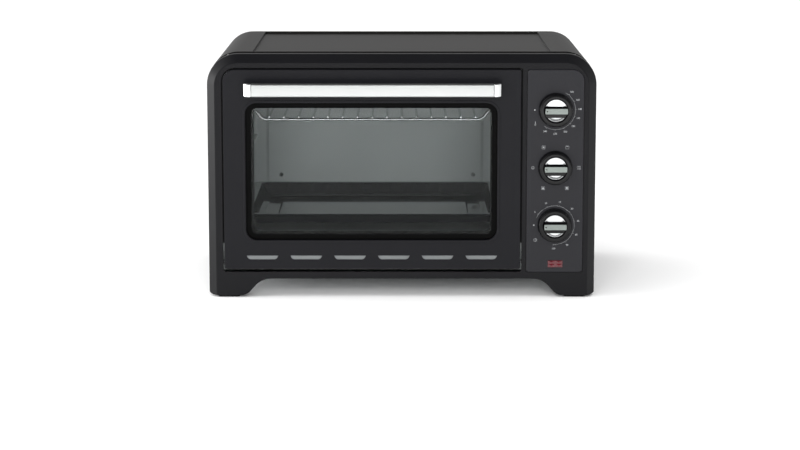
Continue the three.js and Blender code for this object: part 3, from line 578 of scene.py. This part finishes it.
def makeFrontFrame():
    low, high = nodeEdges("front_frame")
    half, top, depth = high.x, high.z, high.y
    corner = casing["corner"]
    blank = slab(rectangle(-half, -20, half, top), [0, 0, corner, corner], 0, depth, steps=18)
    rim = [e for e in blank.edges if all(abs(v.co.y) < 0.01 for v in e.verts)
           and any(v.co.z > -19 for v in e.verts)]
    roundEdges(blank, rim, casing["band"], 1)
    piece = toObject(blank)
    soften(piece, casing["edge"], 3, 28)
    rounded = [casing["footRound"], casing["footRound"], 1, 1]
    combine(piece, [slab(rectangle(-half - 2, low.z, half + 2, top + 2), rounded, -2, depth + 2)], "INTERSECT")

    doorLow, doorHigh = nodeEdges("door_frame")
    panelLow, panelHigh = nodeEdges("control_panel")
    wall, small = casing["wall"], casing["cutCorner"]
    inset = casing["band"] + wall
    gap, panelGap = casing["doorGap"], casing["panelGap"]
    archBack = depth + past
    combine(piece, [
        archTool(0, archBack),
        slab(rectangle(doorLow.x - gap, doorLow.z - casing["doorGapBelow"], doorHigh.x + gap, doorHigh.z + gap),
             [small, small, small, casing["doorCorner"]], -past, archBack),
        slab(rectangle(panelLow.x - panelGap, panelLow.z - panelGap, panelHigh.x + panelGap,
                       panelHigh.z + panelGap), [small, small, casing["panelCorner"], small], -past, archBack),
    ])
    hollow = toObject(slab(rectangle(-half + inset, casing["hollowBottom"], half - inset, top - inset),
                           [2, 2, corner - inset, corner - inset], casing["skin"], archBack))
    combine(hollow, [slab(rectangle(-half + wall, low.z + wall, half - wall, top - wall),
                          [5, 5, corner - wall, corner - wall], casing["rimDepth"], archBack)], "UNION")
    combine(hollow, [archTool(wall, archBack + past)])
    combine(piece, [hollow])
    dress(piece, "frontMoulding", "oven", "frame_black", ["front_frame"], sharp=28)


cover = {"corner": 41.5, "sheet": 1.2, "panelHalf": 207.5, "sink": 3.5, "lip": 4.5, "rearLip": 6, "edge": 0.5,
         "slotCount": 9, "slotPitch": 13, "slotWidth": 5, "slotHeight": 34, "slotStart": 205,
         "slotRows": (50, 262)}


def makeCover():
    low, high = nodeEdges("outer_cover")
    bm = bmesh.new()
    outlineFace(bm, rectangle(low.x, low.z, high.x, high.z), [0, 0, cover["corner"], cover["corner"]], steps=16)
    bmesh.ops.delete(bm, geom=bm.faces[:], context="FACES_ONLY")
    bottom = [e for e in bm.edges if all(abs(v.co.z - low.z) < 0.01 for v in e.verts)]
    bmesh.ops.delete(bm, geom=bottom, context="EDGES")
    bmesh.ops.translate(bm, verts=bm.verts, vec=(0, low.y, 0))
    made = bmesh.ops.extrude_edge_only(bm, edges=bm.edges[:])
    shiftNew(bm, made, (0, high.y - low.y, 0))
    bmesh.ops.recalc_face_normals(bm, faces=bm.faces)
    half, panelFront, panelRear = cover["panelHalf"], low.y + cover["lip"], high.y - cover["rearLip"]
    for point, normal in (((-half, 0, 0), (1, 0, 0)), ((half, 0, 0), (1, 0, 0)),
                          ((0, panelFront, 0), (0, 1, 0)), ((0, panelRear, 0), (0, 1, 0))):
        bmesh.ops.bisect_plane(bm, geom=bm.verts[:] + bm.edges[:] + bm.faces[:], plane_co=point,
                               plane_no=normal)
    middles = [(f, f.calc_center_median()) for f in bm.faces]
    sunk = [f for f, m in middles if m.z > high.z - 0.1 and abs(m.x) < half and panelFront < m.y < panelRear]
    made = bmesh.ops.extrude_face_region(bm, geom=sunk)
    bmesh.ops.delete(bm, geom=sunk, context="FACES_ONLY")
    shiftNew(bm, made, (0, 0, -cover["sink"]))
    bmesh.ops.recalc_face_normals(bm, faces=bm.faces)
    if sum(f.normal.z for f in bm.faces) < 0:
        bmesh.ops.reverse_faces(bm, faces=bm.faces)
    piece = toObject(bm)
    thicken(piece, cover["sheet"])
    soften(piece, cover["edge"], 2, 35)
    slots = bmesh.new()
    for side, rows in ((high.x, cover["slotRows"]), (low.x, cover["slotRows"][1:])):
        for bottomZ in rows:
            for i in range(cover["slotCount"]):
                y = cover["slotStart"] + i * cover["slotPitch"]
                slab(rectangle(y, bottomZ, y + cover["slotWidth"], bottomZ + cover["slotHeight"]),
                     cover["slotWidth"] / 2 - 0.05, side - 9, side + 9, sidePoint, 5, slots)
    combine(piece, [slots])
    dress(piece, "coverSheet", "oven", "cover_black", ["outer_cover"], sharp=35)


back = {"slotCount": 6, "slotPitch": 13, "slotHeight": 5, "slotWidth": 70, "columns": (-200, -60, 110),
        "slotBottom": 215, "corner": 38, "glandHole": 9.4, "screwInset": 14, "screwRadius": 3.6,
        "screwHead": 1.9, "crossArm": 2.2, "crossHalf": 0.4, "sideScrewHeight": 160, "topScrewInset": 40}


def makeBack():
    low, high = nodeEdges("back_panel")
    corner = back["corner"]
    piece = toObject(slab(rectangle(low.x, low.z, high.x, high.z), [3, 3, corner, corner], low.y, high.y))
    slots = bmesh.new()
    for left in back["columns"]:
        for i in range(back["slotCount"]):
            z = back["slotBottom"] + i * back["slotPitch"]
            slab(rectangle(left, z, left + back["slotWidth"], z + back["slotHeight"]),
                 back["slotHeight"] / 2 - 0.05, low.y - 3, high.y + 3, frontPoint, 5, slots)
    glandLow, glandHigh = nodeEdges("cord_gland")
    middle = (glandLow + glandHigh) / 2
    combine(piece, [slots, roundHole(middle, low.y, high.y, back["glandHole"])])
    dress(piece, "backSheet", "oven", "cover_black", ["back_panel"])

    screws = bmesh.new()
    inset, sideZ, topInset = back["screwInset"], back["sideScrewHeight"], back["topScrewInset"]
    places = [(low.x + inset, low.z + inset), (high.x - inset, low.z + inset), (0, low.z + inset),
              (low.x + inset, sideZ), (high.x - inset, sideZ), (low.x + topInset, high.z - inset),
              (high.x - topInset, high.z - inset), (0, high.z - inset)]
    for x, z in places:
        cylinder((x, high.y + 0.1, z), (x, high.y + back["screwHead"], z), back["screwRadius"], 24, screws)
    heads = toObject(screws)
    soften(heads, 0.5, 3)
    arm, thin = back["crossArm"], back["crossHalf"]
    for alongX, alongZ in ((arm, thin), (thin, arm)):
        crosses = bmesh.new()
        for x, z in places:
            brick((x - alongX, high.y + 0.9, z - alongZ), (x + alongX, high.y + 3, z + alongZ), crosses)
        combine(heads, [crosses])
    dress(heads, "backScrews", "oven", "zinc_steel")


makeFrontFrame()
makeCover()
makeBack()
for node, edge in {"front_foot_pad_left": 0.8, "front_foot_pad_right": 0.8, "rear_foot_left": 1.6,
                   "rear_foot_right": 1.6}.items():
    softened(node, "oven", "rubber", edge)
for node in ("rear_spacer_left", "rear_spacer_right", "cord_gland"):
    softened(node, "oven", "black_plastic", 0.8)
print("casing made")


cavity = {"left": -229, "right": 147, "bottom": 80, "top": 312, "back": 350, "corner": 20, "backRound": 9,
          "press": 21, "pressDepth": 2.5, "sheet": 1.5, "fanHole": 47, "flangeBottom": 62, "sillBack": 21.5,
          "sillBottom": 36, "armSlot": (104, 119), "ledges": (112.9, 187, 260), "ledgeDepth": 9,
          "ledgeHeight": 4, "ledgeRound": 1.6, "ledgeEnds": (24, 340), "fanGap": (128, 256),
          "rivetHeight": 123, "rivetRadius": 3.4}


def makeCavity():
    low, high = nodeEdges("cavity_liner")
    left, right, bottom, top = cavity["left"], cavity["right"], cavity["bottom"], cavity["top"]
    corner, deep, turn = cavity["corner"], cavity["back"], cavity["backRound"]
    profile = [(0, corner, low.y)]
    for i in range(7):  # the rounded turn from the walls to the back
        angle = math.radians(15 * i)
        inset = turn * (1 - math.cos(angle))
        profile.append((inset, corner - inset, deep - turn + turn * math.sin(angle)))
    press = cavity["press"]
    pressed = deep - cavity["pressDepth"]
    profile += [(press, 12, deep), (press + 0.8, 11.5, deep - 0.3), (press + 4, 9, pressed + 0.2),
                (press + 5, 8, pressed)]
    rings = [[(a, y, b) for a, b in roundedLoop(left + inset, bottom + inset, right - inset, top - inset,
                                                radius)] for inset, radius, y in profile]
    piece = pressing(rings, (0, -1, 0), cavity["sheet"])
    fanLow, fanHigh = nodeEdges("fan_grille")
    fanMiddle = (fanLow + fanHigh) / 2
    combine(piece, [cylinder((right - past, fanMiddle.y, fanMiddle.z), (right + past, fanMiddle.y, fanMiddle.z),
                             cavity["fanHole"])])
    dress(piece, "cavityWalls", "oven", "cavity_coating", ["cavity_liner"], sharp=45)

    sheet, under, sillBack = cavity["sheet"], cavity["flangeBottom"], cavity["sillBack"]
    flange = toObject(slab(rectangle(low.x, under, high.x, high.z), 3, low.y, low.y + sheet))
    combine(flange, [slab(rectangle(left - 0.5, bottom - 0.5, right + 0.5, top + 0.5), corner, low.y - past,
                          low.y + 9)])
    slotBottom, slotTop = cavity["armSlot"]
    for arm in ("stay_arm_left", "stay_arm_right"):
        armLow, armHigh = nodeEdges(arm)
        combine(flange, [slab(rectangle(armLow.x - 2, slotBottom, armHigh.x + 2, slotTop), 1.5, low.y - past,
                              low.y + 9)])
    dress(flange, "cavityFlange", "oven", "cavity_coating")
    sill = bmesh.new()
    brick((low.x, low.y, under), (high.x, sillBack, under + sheet), sill)
    brick((low.x, sillBack - sheet, cavity["sillBottom"]), (high.x, sillBack, under), sill)
    dress(toObject(sill), "cavitySill", "oven", "cavity_coating", edge=0.4, segments=2)

    runners = bmesh.new()
    depth, tall, rounding = cavity["ledgeDepth"], cavity["ledgeHeight"], cavity["ledgeRound"]
    first, last = cavity["ledgeEnds"]
    gapStart, gapEnd = cavity["fanGap"]
    for z in cavity["ledges"]:
        slab(rectangle(left - 0.4, z - tall, left + depth, z), [0, rounding, rounding, 0], first, last,
             frontPoint, 4, runners)
        middleLedge = z == cavity["ledges"][1]  # this one stops either side of the fan
        for start, end in ((first, gapStart), (gapEnd, last)) if middleLedge else ((first, last),):
            slab(rectangle(right - depth, z - tall, right + 0.4, z), [rounding, 0, 0, rounding], start, end,
                 frontPoint, 4, runners)
    dress(toObject(runners), "cavityRunners", "oven", "cavity_coating", edge=0.7, segments=3)

    rivets = bmesh.new()
    for x in (left + 44, right - 37):
        place = Matrix.Translation((x, pressed + 0.4, cavity["rivetHeight"])) @ Matrix.Diagonal((1, 0.5, 1, 1))
        bmesh.ops.create_uvsphere(rivets, u_segments=20, v_segments=12, radius=cavity["rivetRadius"],
                                  matrix=place)
    dress(toObject(rivets), "wallRivets", "oven", "zinc_steel")


element = {"pinLength": 9.6, "pinRadius": 1.8, "outerCollar": 7, "innerCollar": 6}


def makeElements():
    collars = bmesh.new()
    pin = element["pinLength"]
    for name in ("upper_element_front", "upper_element_rear", "lower_element_front", "lower_element_rear"):
        low, high = nodeEdges(name)
        middle = (low + high) / 2
        radius = (high.z - low.z) / 2
        y, z = middle.y, middle.z
        sheath = cylinder((low.x + pin, y, z), (high.x - pin, y, z), radius, 24)
        cylinder((low.x, y, z), (high.x, y, z), element["pinRadius"], 16, sheath)
        dress(toObject(sheath), name + "_rod", "oven", "element_sheath", [name], 0.4, 2)
        for x, sign in ((cavity["left"], -1), (cavity["right"], 1)):
            cylinder((x + sign * 1.8, y, z), (x + sign * 6, y, z), element["outerCollar"], 24, collars)
            cylinder((x - sign * 2.6, y, z), (x + sign * 0.2, y, z), element["innerCollar"], 24, collars)
    dress(toObject(collars), "elementCollars", "oven", "ceramic", edge=0.5, segments=2)


makeCavity()
makeElements()
print("cavity made")


door = {"corner": 17, "skin": 3, "wall": 2.5, "edge": 1.1, "windowLeft": 35.1, "windowRight": 37.2,
        "windowBottom": 45.6, "windowTop": 51, "windowCorner": 11, "lipOuter": 8, "lipInner": 4.6,
        "lipHeight": 1.2, "border": 3, "slotCount": 6, "slotFirst": -194.4, "slotPitch": 61.1,
        "slotWidth": 44.6, "slotBottom": 54, "slotTop": 59.5, "slotSlant": 3}


def makeDoor():
    low, high = nodeEdges("door_frame")
    face = low.y + door["lipHeight"]
    window = rectangle(low.x + door["windowLeft"], low.z + door["windowBottom"], high.x - door["windowRight"],
                       high.z - door["windowTop"])

    def windowSlab(grow, start, end, steps=12):
        (left, bottom), _, (right, top), _ = window
        return slab(rectangle(left - grow, bottom - grow, right + grow, top + grow),
                    door["windowCorner"] + grow, start, end, steps=steps)

    shell = toObject(slab(rectangle(low.x, low.z, high.x, high.z), [3, 3, 3, door["corner"]], face, high.y,
                          steps=12))
    soften(shell, door["edge"], 3)
    wall = door["wall"]
    hollow = toObject(slab(rectangle(low.x + wall, low.z + wall, high.x - wall, high.z - wall),
                           [1, 1, 1, door["corner"] - wall], face + door["skin"], high.y + past))
    combine(hollow, [windowSlab(door["lipInner"] + 2, face, face + door["skin"] + 1)])
    combine(shell, [hollow])
    slots, chutes = bmesh.new(), bmesh.new()
    half, slant = door["slotWidth"] / 2, door["slotSlant"]
    for i in range(door["slotCount"]):
        middle = door["slotFirst"] + i * door["slotPitch"]
        slab([(middle - half + slant, door["slotBottom"]), (middle + half - slant, door["slotBottom"]),
              (middle + half, door["slotTop"]), (middle - half, door["slotTop"])], [3, 3, 0, 0], face - 3,
             face + door["skin"] + 2, frontPoint, 5, slots)
        z = door["slotBottom"]  # a chute is the slot's turned-in lower edge
        slab([(face + 0.8, z), (face + 1.2, z - 0.2), (face + 2.2, z + 7), (face + 1.8, z + 7.2)], 0,
             middle - half + 0.5, middle + half - 0.5, sidePoint, 2, chutes)
    combine(shell, [windowSlab(door["lipInner"], face - past, face + door["skin"] + 1), slots])
    dress(shell, "doorShell", "door", "door_black", ["door_frame"])

    lip = toObject(windowSlab(door["lipOuter"], low.y, face - 0.05))
    combine(lip, [windowSlab(door["lipInner"], low.y - 3, face + 3)])
    dress(lip, "windowLip", "door", "door_black", edge=0.55, segments=3)
    glassLow, glassHigh = nodeEdges("door_glass")
    # a black band on the glass, from under the door's face to 3 mm inside the window's edge
    border = toObject(windowSlab(door["lipInner"] + 1, glassLow.y - 0.25, glassLow.y - 0.1))
    combine(border, [windowSlab(-door["border"], glassLow.y - 3, glassLow.y + 3)])
    dress(border, "glassBorder", "door", "black_plastic", finish=glassEdgeBlack)
    pane = slab(rectangle(glassLow.x, glassLow.z, glassHigh.x, glassHigh.z), 5, glassLow.y, glassHigh.y)
    dress(toObject(pane), "glassPane", "door", "door_glass", ["door_glass"], edge=0.5, segments=2)
    dress(toObject(chutes), "ventChutes", "door", "zinc_steel", edge=0.15, segments=1)


handle = {"edge": 2.4, "endRound": 9}


def makeHandle():
    low, high = nodeEdges("door_handle")
    bar = brick((low.x, low.y, low.z), (high.x, high.y, high.z))
    long = [e for e in bar.edges if abs(e.verts[0].co.x - e.verts[1].co.x) > 50]
    roundEdges(bar, long, handle["edge"], 5)
    dress(toObject(bar), "handleBar", "door", "brushed_handle", ["door_handle"])
    for side, node in (("left", "handle_end_left"), ("right", "handle_end_right")):
        low, high = nodeEdges(node)
        radii = [handle["endRound"], 0, 0, 0] if side == "left" else [0, handle["endRound"], 0, 0]
        end = slab(rectangle(low.x, low.y, high.x, high.y), radii, low.z, high.z, planPoint, 12)
        dress(toObject(end), node + "_cap", "door", "chrome_ends", [node], 1.6, 4, sharp=40)


# sizes of the dark strip behind the door's gap, which is painted shade for the gap
gapShadeStrip = {"front": 7, "back": 9, "outer": 2.3, "inner": 0.5, "bottom": 76}


def makeGapShadeStrip():  # dark lip of the casing behind the gap round the door: painted shade that keeps the gap dark
    low, high = nodeEdges("door_frame")
    front, rear = gapShadeStrip["front"], gapShadeStrip["back"]

    def around(grow, start, end):
        return slab(rectangle(low.x - grow, low.z - grow, high.x + grow, high.z + grow),
                    [3, 3, 3, door["corner"] + grow], start, end)

    piece = toObject(around(gapShadeStrip["outer"], front, rear))
    combine(piece, [around(gapShadeStrip["inner"], front - past, rear + past),
                    brick((low.x - 9, -20, 0), (high.x + 9, 40, gapShadeStrip["bottom"]))])
    # the dark rubber finish here is painted shade in the gap round the door
    dress(piece, "gapShadeStrip", "oven", "rubber")


makeDoor()
makeHandle()
makeGapShadeStrip()
softened("door_inner_frame", "door", "inner_steel", 0.5)
for side in ("left", "right"):
    softened("stay_arm_" + side, "door", "zinc_steel", 0.3)
    softened("hinge_pin_" + side, "door", "spring_steel", 0.3)
    softened("handle_screw_" + side, "door", "zinc_steel", 0.3)
    softened("hinge_bracket_" + side, "oven", "zinc_steel", 0.3)
print("door made")


panel = {"corner": 16, "skin": 3, "wall": 2.5, "edge": 1.3, "smallCorner": 4, "shaftHole": 5, "lensGap": 0.3}
knob = {"skirtRadius": 24, "dishRadius": 16, "dishFloor": 7, "capRadius": 15.6, "capLift": 1.1,
        "gripHalf": 4.2, "grooveAbove": 6, "grooveBelow": 10.2, "gripExtra": 2.2, "plate": 0.9, "gripReach": 16,
        "gripRound": 1.2, "gripEdge": 0.3, "markAside": 13, "markRadius": 1}
gripPlate = workedMetal("brushedGripPlate", "#8d9490", 0.3, 2.0, (1, 1, 1), 0.04)  # fine lines, duller


knobNames = ("temperature", "function", "timer")


def knobCentre(name):
    low, high = nodeEdges(name + "_knob_skirt")
    return Vector(((low.x + high.x) / 2, 0, (low.z + high.z) / 2))


def makePanel():
    low, high = nodeEdges("control_panel")
    small, wall, gap = panel["smallCorner"], panel["wall"], panel["lensGap"]
    piece = toObject(slab(rectangle(low.x, low.z, high.x, high.z), [small, small, panel["corner"], small],
                          low.y, high.y, steps=12))
    soften(piece, panel["edge"], 4)
    lensLow, lensHigh = nodeEdges("indicator_lens")
    tools = [
        slab(rectangle(low.x + wall, low.z + wall, high.x - wall, high.z - wall),
             [2, 2, panel["corner"] - wall, 2], low.y + panel["skin"], high.y + past),
        brick((lensLow.x - gap, low.y - past, lensLow.z - gap),
              (lensHigh.x + gap, high.y + past, lensHigh.z + gap)),
    ]
    tools += [roundHole(knobCentre(name), low.y, high.y, panel["shaftHole"]) for name in knobNames]
    combine(piece, tools)
    dress(piece, "controlFascia", "oven", "panel_grey", ["control_panel"])


def makeLens():
    low, high = nodeEdges("indicator_lens")
    body = brick((low.x, low.y + 0.8, low.z), (high.x, high.y, high.z))
    face = [f for f in body.faces if f.normal.y < -0.9]
    bmesh.ops.subdivide_edges(body, edges=list({e for f in face for e in f.edges}), cuts=1, use_grid_fill=True)
    face = [f for f in body.faces if f.normal.y < -0.9]
    poked = bmesh.ops.poke(body, faces=face, offset=0, center_mode="MEAN")
    bmesh.ops.translate(body, verts=poked["verts"], vec=(0, -0.8, 0))
    dress(toObject(body), "lensFacets", "oven", "red_lens", ["indicator_lens"], sharp=5)


def makeKnob(name):
    centre = knobCentre(name)
    low, high = nodeEdges(name + "_knob_skirt")
    base, top = high.y, low.y
    outer, dish = knob["skirtRadius"], knob["dishRadius"]
    floor = base - knob["dishFloor"]
    skirt = turned([(4, base), (4, floor), (dish, floor), (dish, top + 0.9), (dish + 0.5, top + 0.3),
                    (dish + 1.3, top), (20.6, top), (21.6, top + 0.4), (22.3, top + 1.3), (22.9, top + 3),
                    (23.5, top + 6), (outer, base - 2), (outer, base - 0.4), (outer - 0.4, base)], centre, 72)
    dress(toObject(skirt), name + "KnobSkirt", name + "_knob", "knob_black",
          [name + "_knob_skirt"], sharp=50)
    radius = knob["capRadius"]
    faceY = floor - knob["capLift"]
    disc = turned([(0, faceY + 0.5), (radius - 3, faceY + 0.4), (radius - 1, faceY + 0.1),
                   (radius - 0.5, faceY), (radius - 0.1, faceY + 0.2), (radius, faceY + 0.6),
                   (radius, floor - 0.05), (0, floor - 0.05)], centre, 72)
    cap = toObject(disc)
    combine(cap, [brick((centre.x - outer, faceY - past, centre.z - knob["grooveBelow"]),
                        (centre.x + outer, floor + past, centre.z + knob["grooveAbove"]))])
    dress(cap, name + "KnobCap", name + "_knob", "knob_silver", [name + "_knob_cap"], sharp=50)
    front = nodeEdges(name + "_knob_cap")[0].y - knob["gripExtra"]
    plate, reach, half = knob["plate"], knob["gripReach"], knob["gripHalf"]
    aside = Vector((knob["markAside"], 0, 0))
    for part, near, far, inset, slotName, finish in (
            ("Grip", front + plate * 0.6, floor - 0.05, 0, "knob_black", None),
            ("Plate", front, front + plate, 0.4, "knob_silver", gripPlate)):
        tall = half - inset
        bar = toObject(slab(rectangle(centre.x - reach, centre.z - tall, centre.x + reach, centre.z + tall),
                            knob["gripRound"], near, far, steps=5))
        combine(bar, [roundHole(centre, near, far, reach - 0.1 - inset, 96)], "INTERSECT")
        soften(bar, knob["gripEdge"], 3)
        if part == "Plate":  # the round pointer mark, sunk through the plate
            combine(bar, [roundHole(centre - aside, near, far, knob["markRadius"], 24)])
        dress(bar, name + "Knob" + part, name + "_knob", slotName, finish=finish)


makePanel()
makeLens()
for knobName in knobNames:
    makeKnob(knobName)
print("controls made")


dial = {"arcRadius": 27.2, "numberRadius": 33.2, "iconRadius": 33.0, "textSize": 3.4, "line": 0.2, "tick": 1.6,
        "dot": 0.9, "lift": 0.06, "depth": 0.05}


def clockPoint(centre, degrees, radius):  # clockwise from the top
    angle = math.radians(degrees)
    return centre.x + radius * math.sin(angle), centre.z + radius * math.cos(angle)


def addText(bm, words, x, z, size):
    curve = bpy.data.curves.new("figures", "FONT")
    curve.body = words
    curve.size = size
    curve.align_x = "CENTER"
    curve.align_y = "CENTER"
    curve.resolution_u = 3
    holder = addObject("figures", curve)
    mesh = finalMesh(holder)
    mesh.transform(Matrix.Translation((x, 0, z)) @ Matrix.Rotation(math.pi / 2, 4, "X"))
    bm.from_mesh(mesh)
    bpy.data.objects.remove(holder)
    bpy.data.meshes.remove(mesh)


def addFlat(bm, corners):
    part = bmesh.new()
    outlineFace(part, corners)
    pourInto(bm, part)


def addArc(bm, centre, radius, start, end, line):
    steps = max(6, int(abs(end - start) / 4))
    for i in range(steps):
        a, b = (start + (end - start) * (i + k) / steps for k in (0, 1))
        addFlat(bm, [clockPoint(centre, a, radius), clockPoint(centre, b, radius),
                     clockPoint(centre, b, radius + line), clockPoint(centre, a, radius + line)])


def addTick(bm, centre, degrees, inner, outer, line):
    half = math.degrees(line / inner) / 2
    addFlat(bm, [clockPoint(centre, degrees - half, inner), clockPoint(centre, degrees + half, inner),
                 clockPoint(centre, degrees + half, outer), clockPoint(centre, degrees - half, outer)])


def addRing(bm, x, z, radius, line):
    addArc(bm, Vector((x, 0, z)), radius, 0, 360, line)


def addDot(bm, x, z, radius, sides=10):
    addFlat(bm, [clockPoint(Vector((x, 0, z)), k * 360 / sides, radius) for k in range(sides)])


def addNumbers(bm, centre, marks):  # figures with a tick each, by their degrees on the dial
    for degrees, words in marks.items():
        x, z = clockPoint(centre, degrees, dial["numberRadius"])
        addText(bm, words, x, z, dial["textSize"])
        addTick(bm, centre, degrees, dial["arcRadius"], dial["arcRadius"] + dial["tick"], dial["line"])


def addHeatIcon(bm, x, z, top, bottom, fan, size=4.6):
    half = size / 2
    line = dial["line"]
    for left, low, right, high in ((-half, -half, -half + line, half), (half - line, -half, half, half),
                                   (-half, -half, half, -half + line), (-half, half - line, half, half)):
        addFlat(bm, rectangle(x + left, z + low, x + right, z + high))
    if top:
        addFlat(bm, rectangle(x - half + 1, z + half - 1.3, x + half - 1, z + half - 0.9))
    if bottom:
        addFlat(bm, rectangle(x - half + 1, z - half + 0.9, x + half - 1, z - half + 1.3))
    if fan:
        for turn in (45, 135, 225, 315):
            cx, cz = clockPoint(Vector((x, 0, z)), turn, 0.75)
            addFlat(bm, [clockPoint(Vector((cx, 0, cz)), turn + k * 72, 0.55) for k in range(5)])


def placePrint(bm, name):
    bmesh.ops.recalc_face_normals(bm, faces=bm.faces)
    for f in [f for f in bm.faces if f.normal.y > 0]:
        f.normal_flip()
    made = bmesh.ops.extrude_face_region(bm, geom=bm.faces[:])
    shiftNew(bm, made, (0, -dial["depth"], 0))
    bmesh.ops.recalc_face_normals(bm, faces=bm.faces)
    low, high = nodeEdges("control_panel")
    bmesh.ops.translate(bm, verts=bm.verts, vec=(0, low.y - dial["lift"] + dial["depth"], 0))
    dress(toObject(bm), name, "oven", "panel_grey", finish=printInk)


def makePrint():
    radius, line = dial["arcRadius"], dial["line"]
    centre = knobCentre("temperature")
    bm = bmesh.new()
    marks = {41: "100", 65: "120", 88: "140", 110: "160", 133: "180", 156: "200", 181: "220", 206: "240"}
    addNumbers(bm, centre, marks)
    addArc(bm, centre, radius, 30, 215, line)
    x, z = clockPoint(centre, 270, dial["iconRadius"] - 4)
    addDot(bm, x, z, dial["dot"])
    x, z = clockPoint(centre, 236, dial["iconRadius"] + 1)
    addRing(bm, x, z - 1.4, 0.8, 0.3)
    addFlat(bm, rectangle(x - 0.25, z - 0.6, x + 0.25, z + 3))
    placePrint(bm, "temperaturePrint")

    centre = knobCentre("function")
    bm = bmesh.new()
    for degrees, top, bottom, fan in ((30, 1, 0, 0), (90, 1, 1, 0), (150, 1, 1, 1), (210, 0, 1, 1),
                                      (330, 0, 0, 1)):
        x, z = clockPoint(centre, degrees, dial["iconRadius"])
        addHeatIcon(bm, x, z, top, bottom, fan)
    x, z = clockPoint(centre, 270, dial["iconRadius"] - 2)
    addRing(bm, x, z, 1.5, 0.35)
    placePrint(bm, "functionPrint")

    centre = knobCentre("timer")
    bm = bmesh.new()
    marks = {304: "5", 338: "10", 12: "15", 46: "30", 80: "45", 114: "60", 148: "90", 182: "120"}
    addNumbers(bm, centre, marks)
    for degrees in range(300, 546, 17):
        addTick(bm, centre, degrees % 360, radius, radius + 0.9, line * 0.8)
    addArc(bm, centre, radius, 292, 545, line)
    x, z = clockPoint(centre, 270, dial["iconRadius"] - 4)
    addDot(bm, x, z, dial["dot"])
    x, z = clockPoint(centre, 232, dial["iconRadius"] + 1)
    addRing(bm, x, z, 1.9, 0.3)
    addFlat(bm, rectangle(x - 0.15, z, x + 0.15, z + 1.3))
    addFlat(bm, rectangle(x, z - 0.15, x + 1, z + 0.15))
    placePrint(bm, "timerPrint")


makePrint()
print("dials printed")


rack = {"wire": 2.3, "cross": 1.5, "count": 15, "drop": 15, "ear": 17, "slope": 12, "bend": 6.5, "inset": 38}


def makeRack():
    low, high = nodeEdges("wire_rack")
    radius = rack["wire"]
    left, right = low.x + radius, high.x - radius
    front, rear = low.y + radius, high.y - radius
    up = high.z - radius
    down = up - rack["drop"]
    ear, slope = rack["ear"], rack["slope"]
    route = []
    for y, order in ((front, 1), (rear, -1)):
        run = [(left, y, up), (left + ear, y, up), (left + ear + slope, y, down),
               (right - ear - slope, y, down), (right - ear, y, up), (right, y, up)]
        route += run[::order]
    bm = bmesh.new()
    verts = [bm.verts.new(point) for point in route]
    for i, vert in enumerate(verts):
        bm.edges.new((vert, verts[(i + 1) % len(verts)]))
    roundCorners(bm, verts, rack["bend"], 6)
    loop = toObject(bm)
    wire = bpy.data.curves.new("rackWire", "CURVE")
    wire.dimensions = "3D"
    wire.bevel_depth = radius / 1000
    wire.bevel_resolution = 4
    spline = wire.splines.new("POLY")
    mesh = loop.data
    neighbours = {v.index: [] for v in mesh.vertices}
    for edge in mesh.edges:
        a, b = edge.vertices
        neighbours[a].append(b)
        neighbours[b].append(a)
    order, last = [0], None
    while len(order) < len(mesh.vertices):
        following = [n for n in neighbours[order[-1]] if n != last][0]
        last = order[-1]
        order.append(following)
    spline.points.add(len(order) - 1)
    for point, index in zip(spline.points, order):
        point.co = (*mesh.vertices[index].co, 1)
    spline.use_cyclic_u = True
    holder = addObject("rackHolder", wire)
    loop.data = finalMesh(holder)
    bpy.data.objects.remove(holder)
    dress(loop, "rackFrame", "rack", "rack_chrome", ["wire_rack"], sharp=60)

    bars = bmesh.new()
    first = left + rack["inset"]
    pitch = (right - rack["inset"] - first) / (rack["count"] - 1)
    z = down + radius + rack["cross"] - 0.6
    for i in range(rack["count"]):
        x = first + i * pitch
        cylinder((x, low.y, z), (x, high.y, z), rack["cross"], 14, bars)
    dress(toObject(bars), "rackBars", "rack", "rack_chrome", edge=0.5, segments=2, sharp=50)


tray = {"corner": 14, "flange": 12, "slope": 7, "step": 9, "stepDrop": 1.6, "sheet": 1.0, "panelInset": 46,
        "panelLift": 1.4, "roll": 0.8}


def makeTray():
    low, high = nodeEdges("baking_tray")
    top = high.z - 0.4
    floor = low.z + tray["sheet"]
    corner, roll, flange, slope, step = (tray[key] for key in ("corner", "roll", "flange", "slope", "step"))
    shelf = floor + tray["stepDrop"]
    # each ring's inset, corner radius and height, from the rolled rim inwards
    profile = [(0, corner, top - 1.6), (0.3, corner - 0.2, top - 0.4), (roll, corner - 0.4, top)]
    profile += [(flange - 2, 12, top), (flange - 0.6, 11.6, top - 0.5), (flange + 0.2, 11.3, top - 1.6)]
    profile += [(flange + slope - 1.2, 9, shelf + 1.6), (flange + slope, 8.5, shelf + 0.4),
                (flange + slope + 1.4, 8, shelf)]
    profile += [(flange + slope + step, 7, shelf), (flange + slope + step + 1, 6.8, shelf - 0.4),
                (flange + slope + step + 2.4, 6.5, floor)]
    panelInset = tray["panelInset"]
    profile += [(panelInset, 6, floor), (panelInset + 0.8, 5.8, floor + 0.3),
                (panelInset + 2.2, 5.5, floor + tray["panelLift"] - 0.2),
                (panelInset + 3, 5.2, floor + tray["panelLift"])]
    rings = [[(a, b, z) for a, b in roundedLoop(low.x + inset, low.y + inset, high.x - inset, high.y - inset,
                                                radius, 10)] for inset, radius, z in profile]
    piece = pressing(rings, (0, 0, 1), tray["sheet"])
    dress(piece, "trayPressing", "tray", "tray_enamel", ["baking_tray"], sharp=60)


makeRack()
makeTray()
print("rack and tray made")
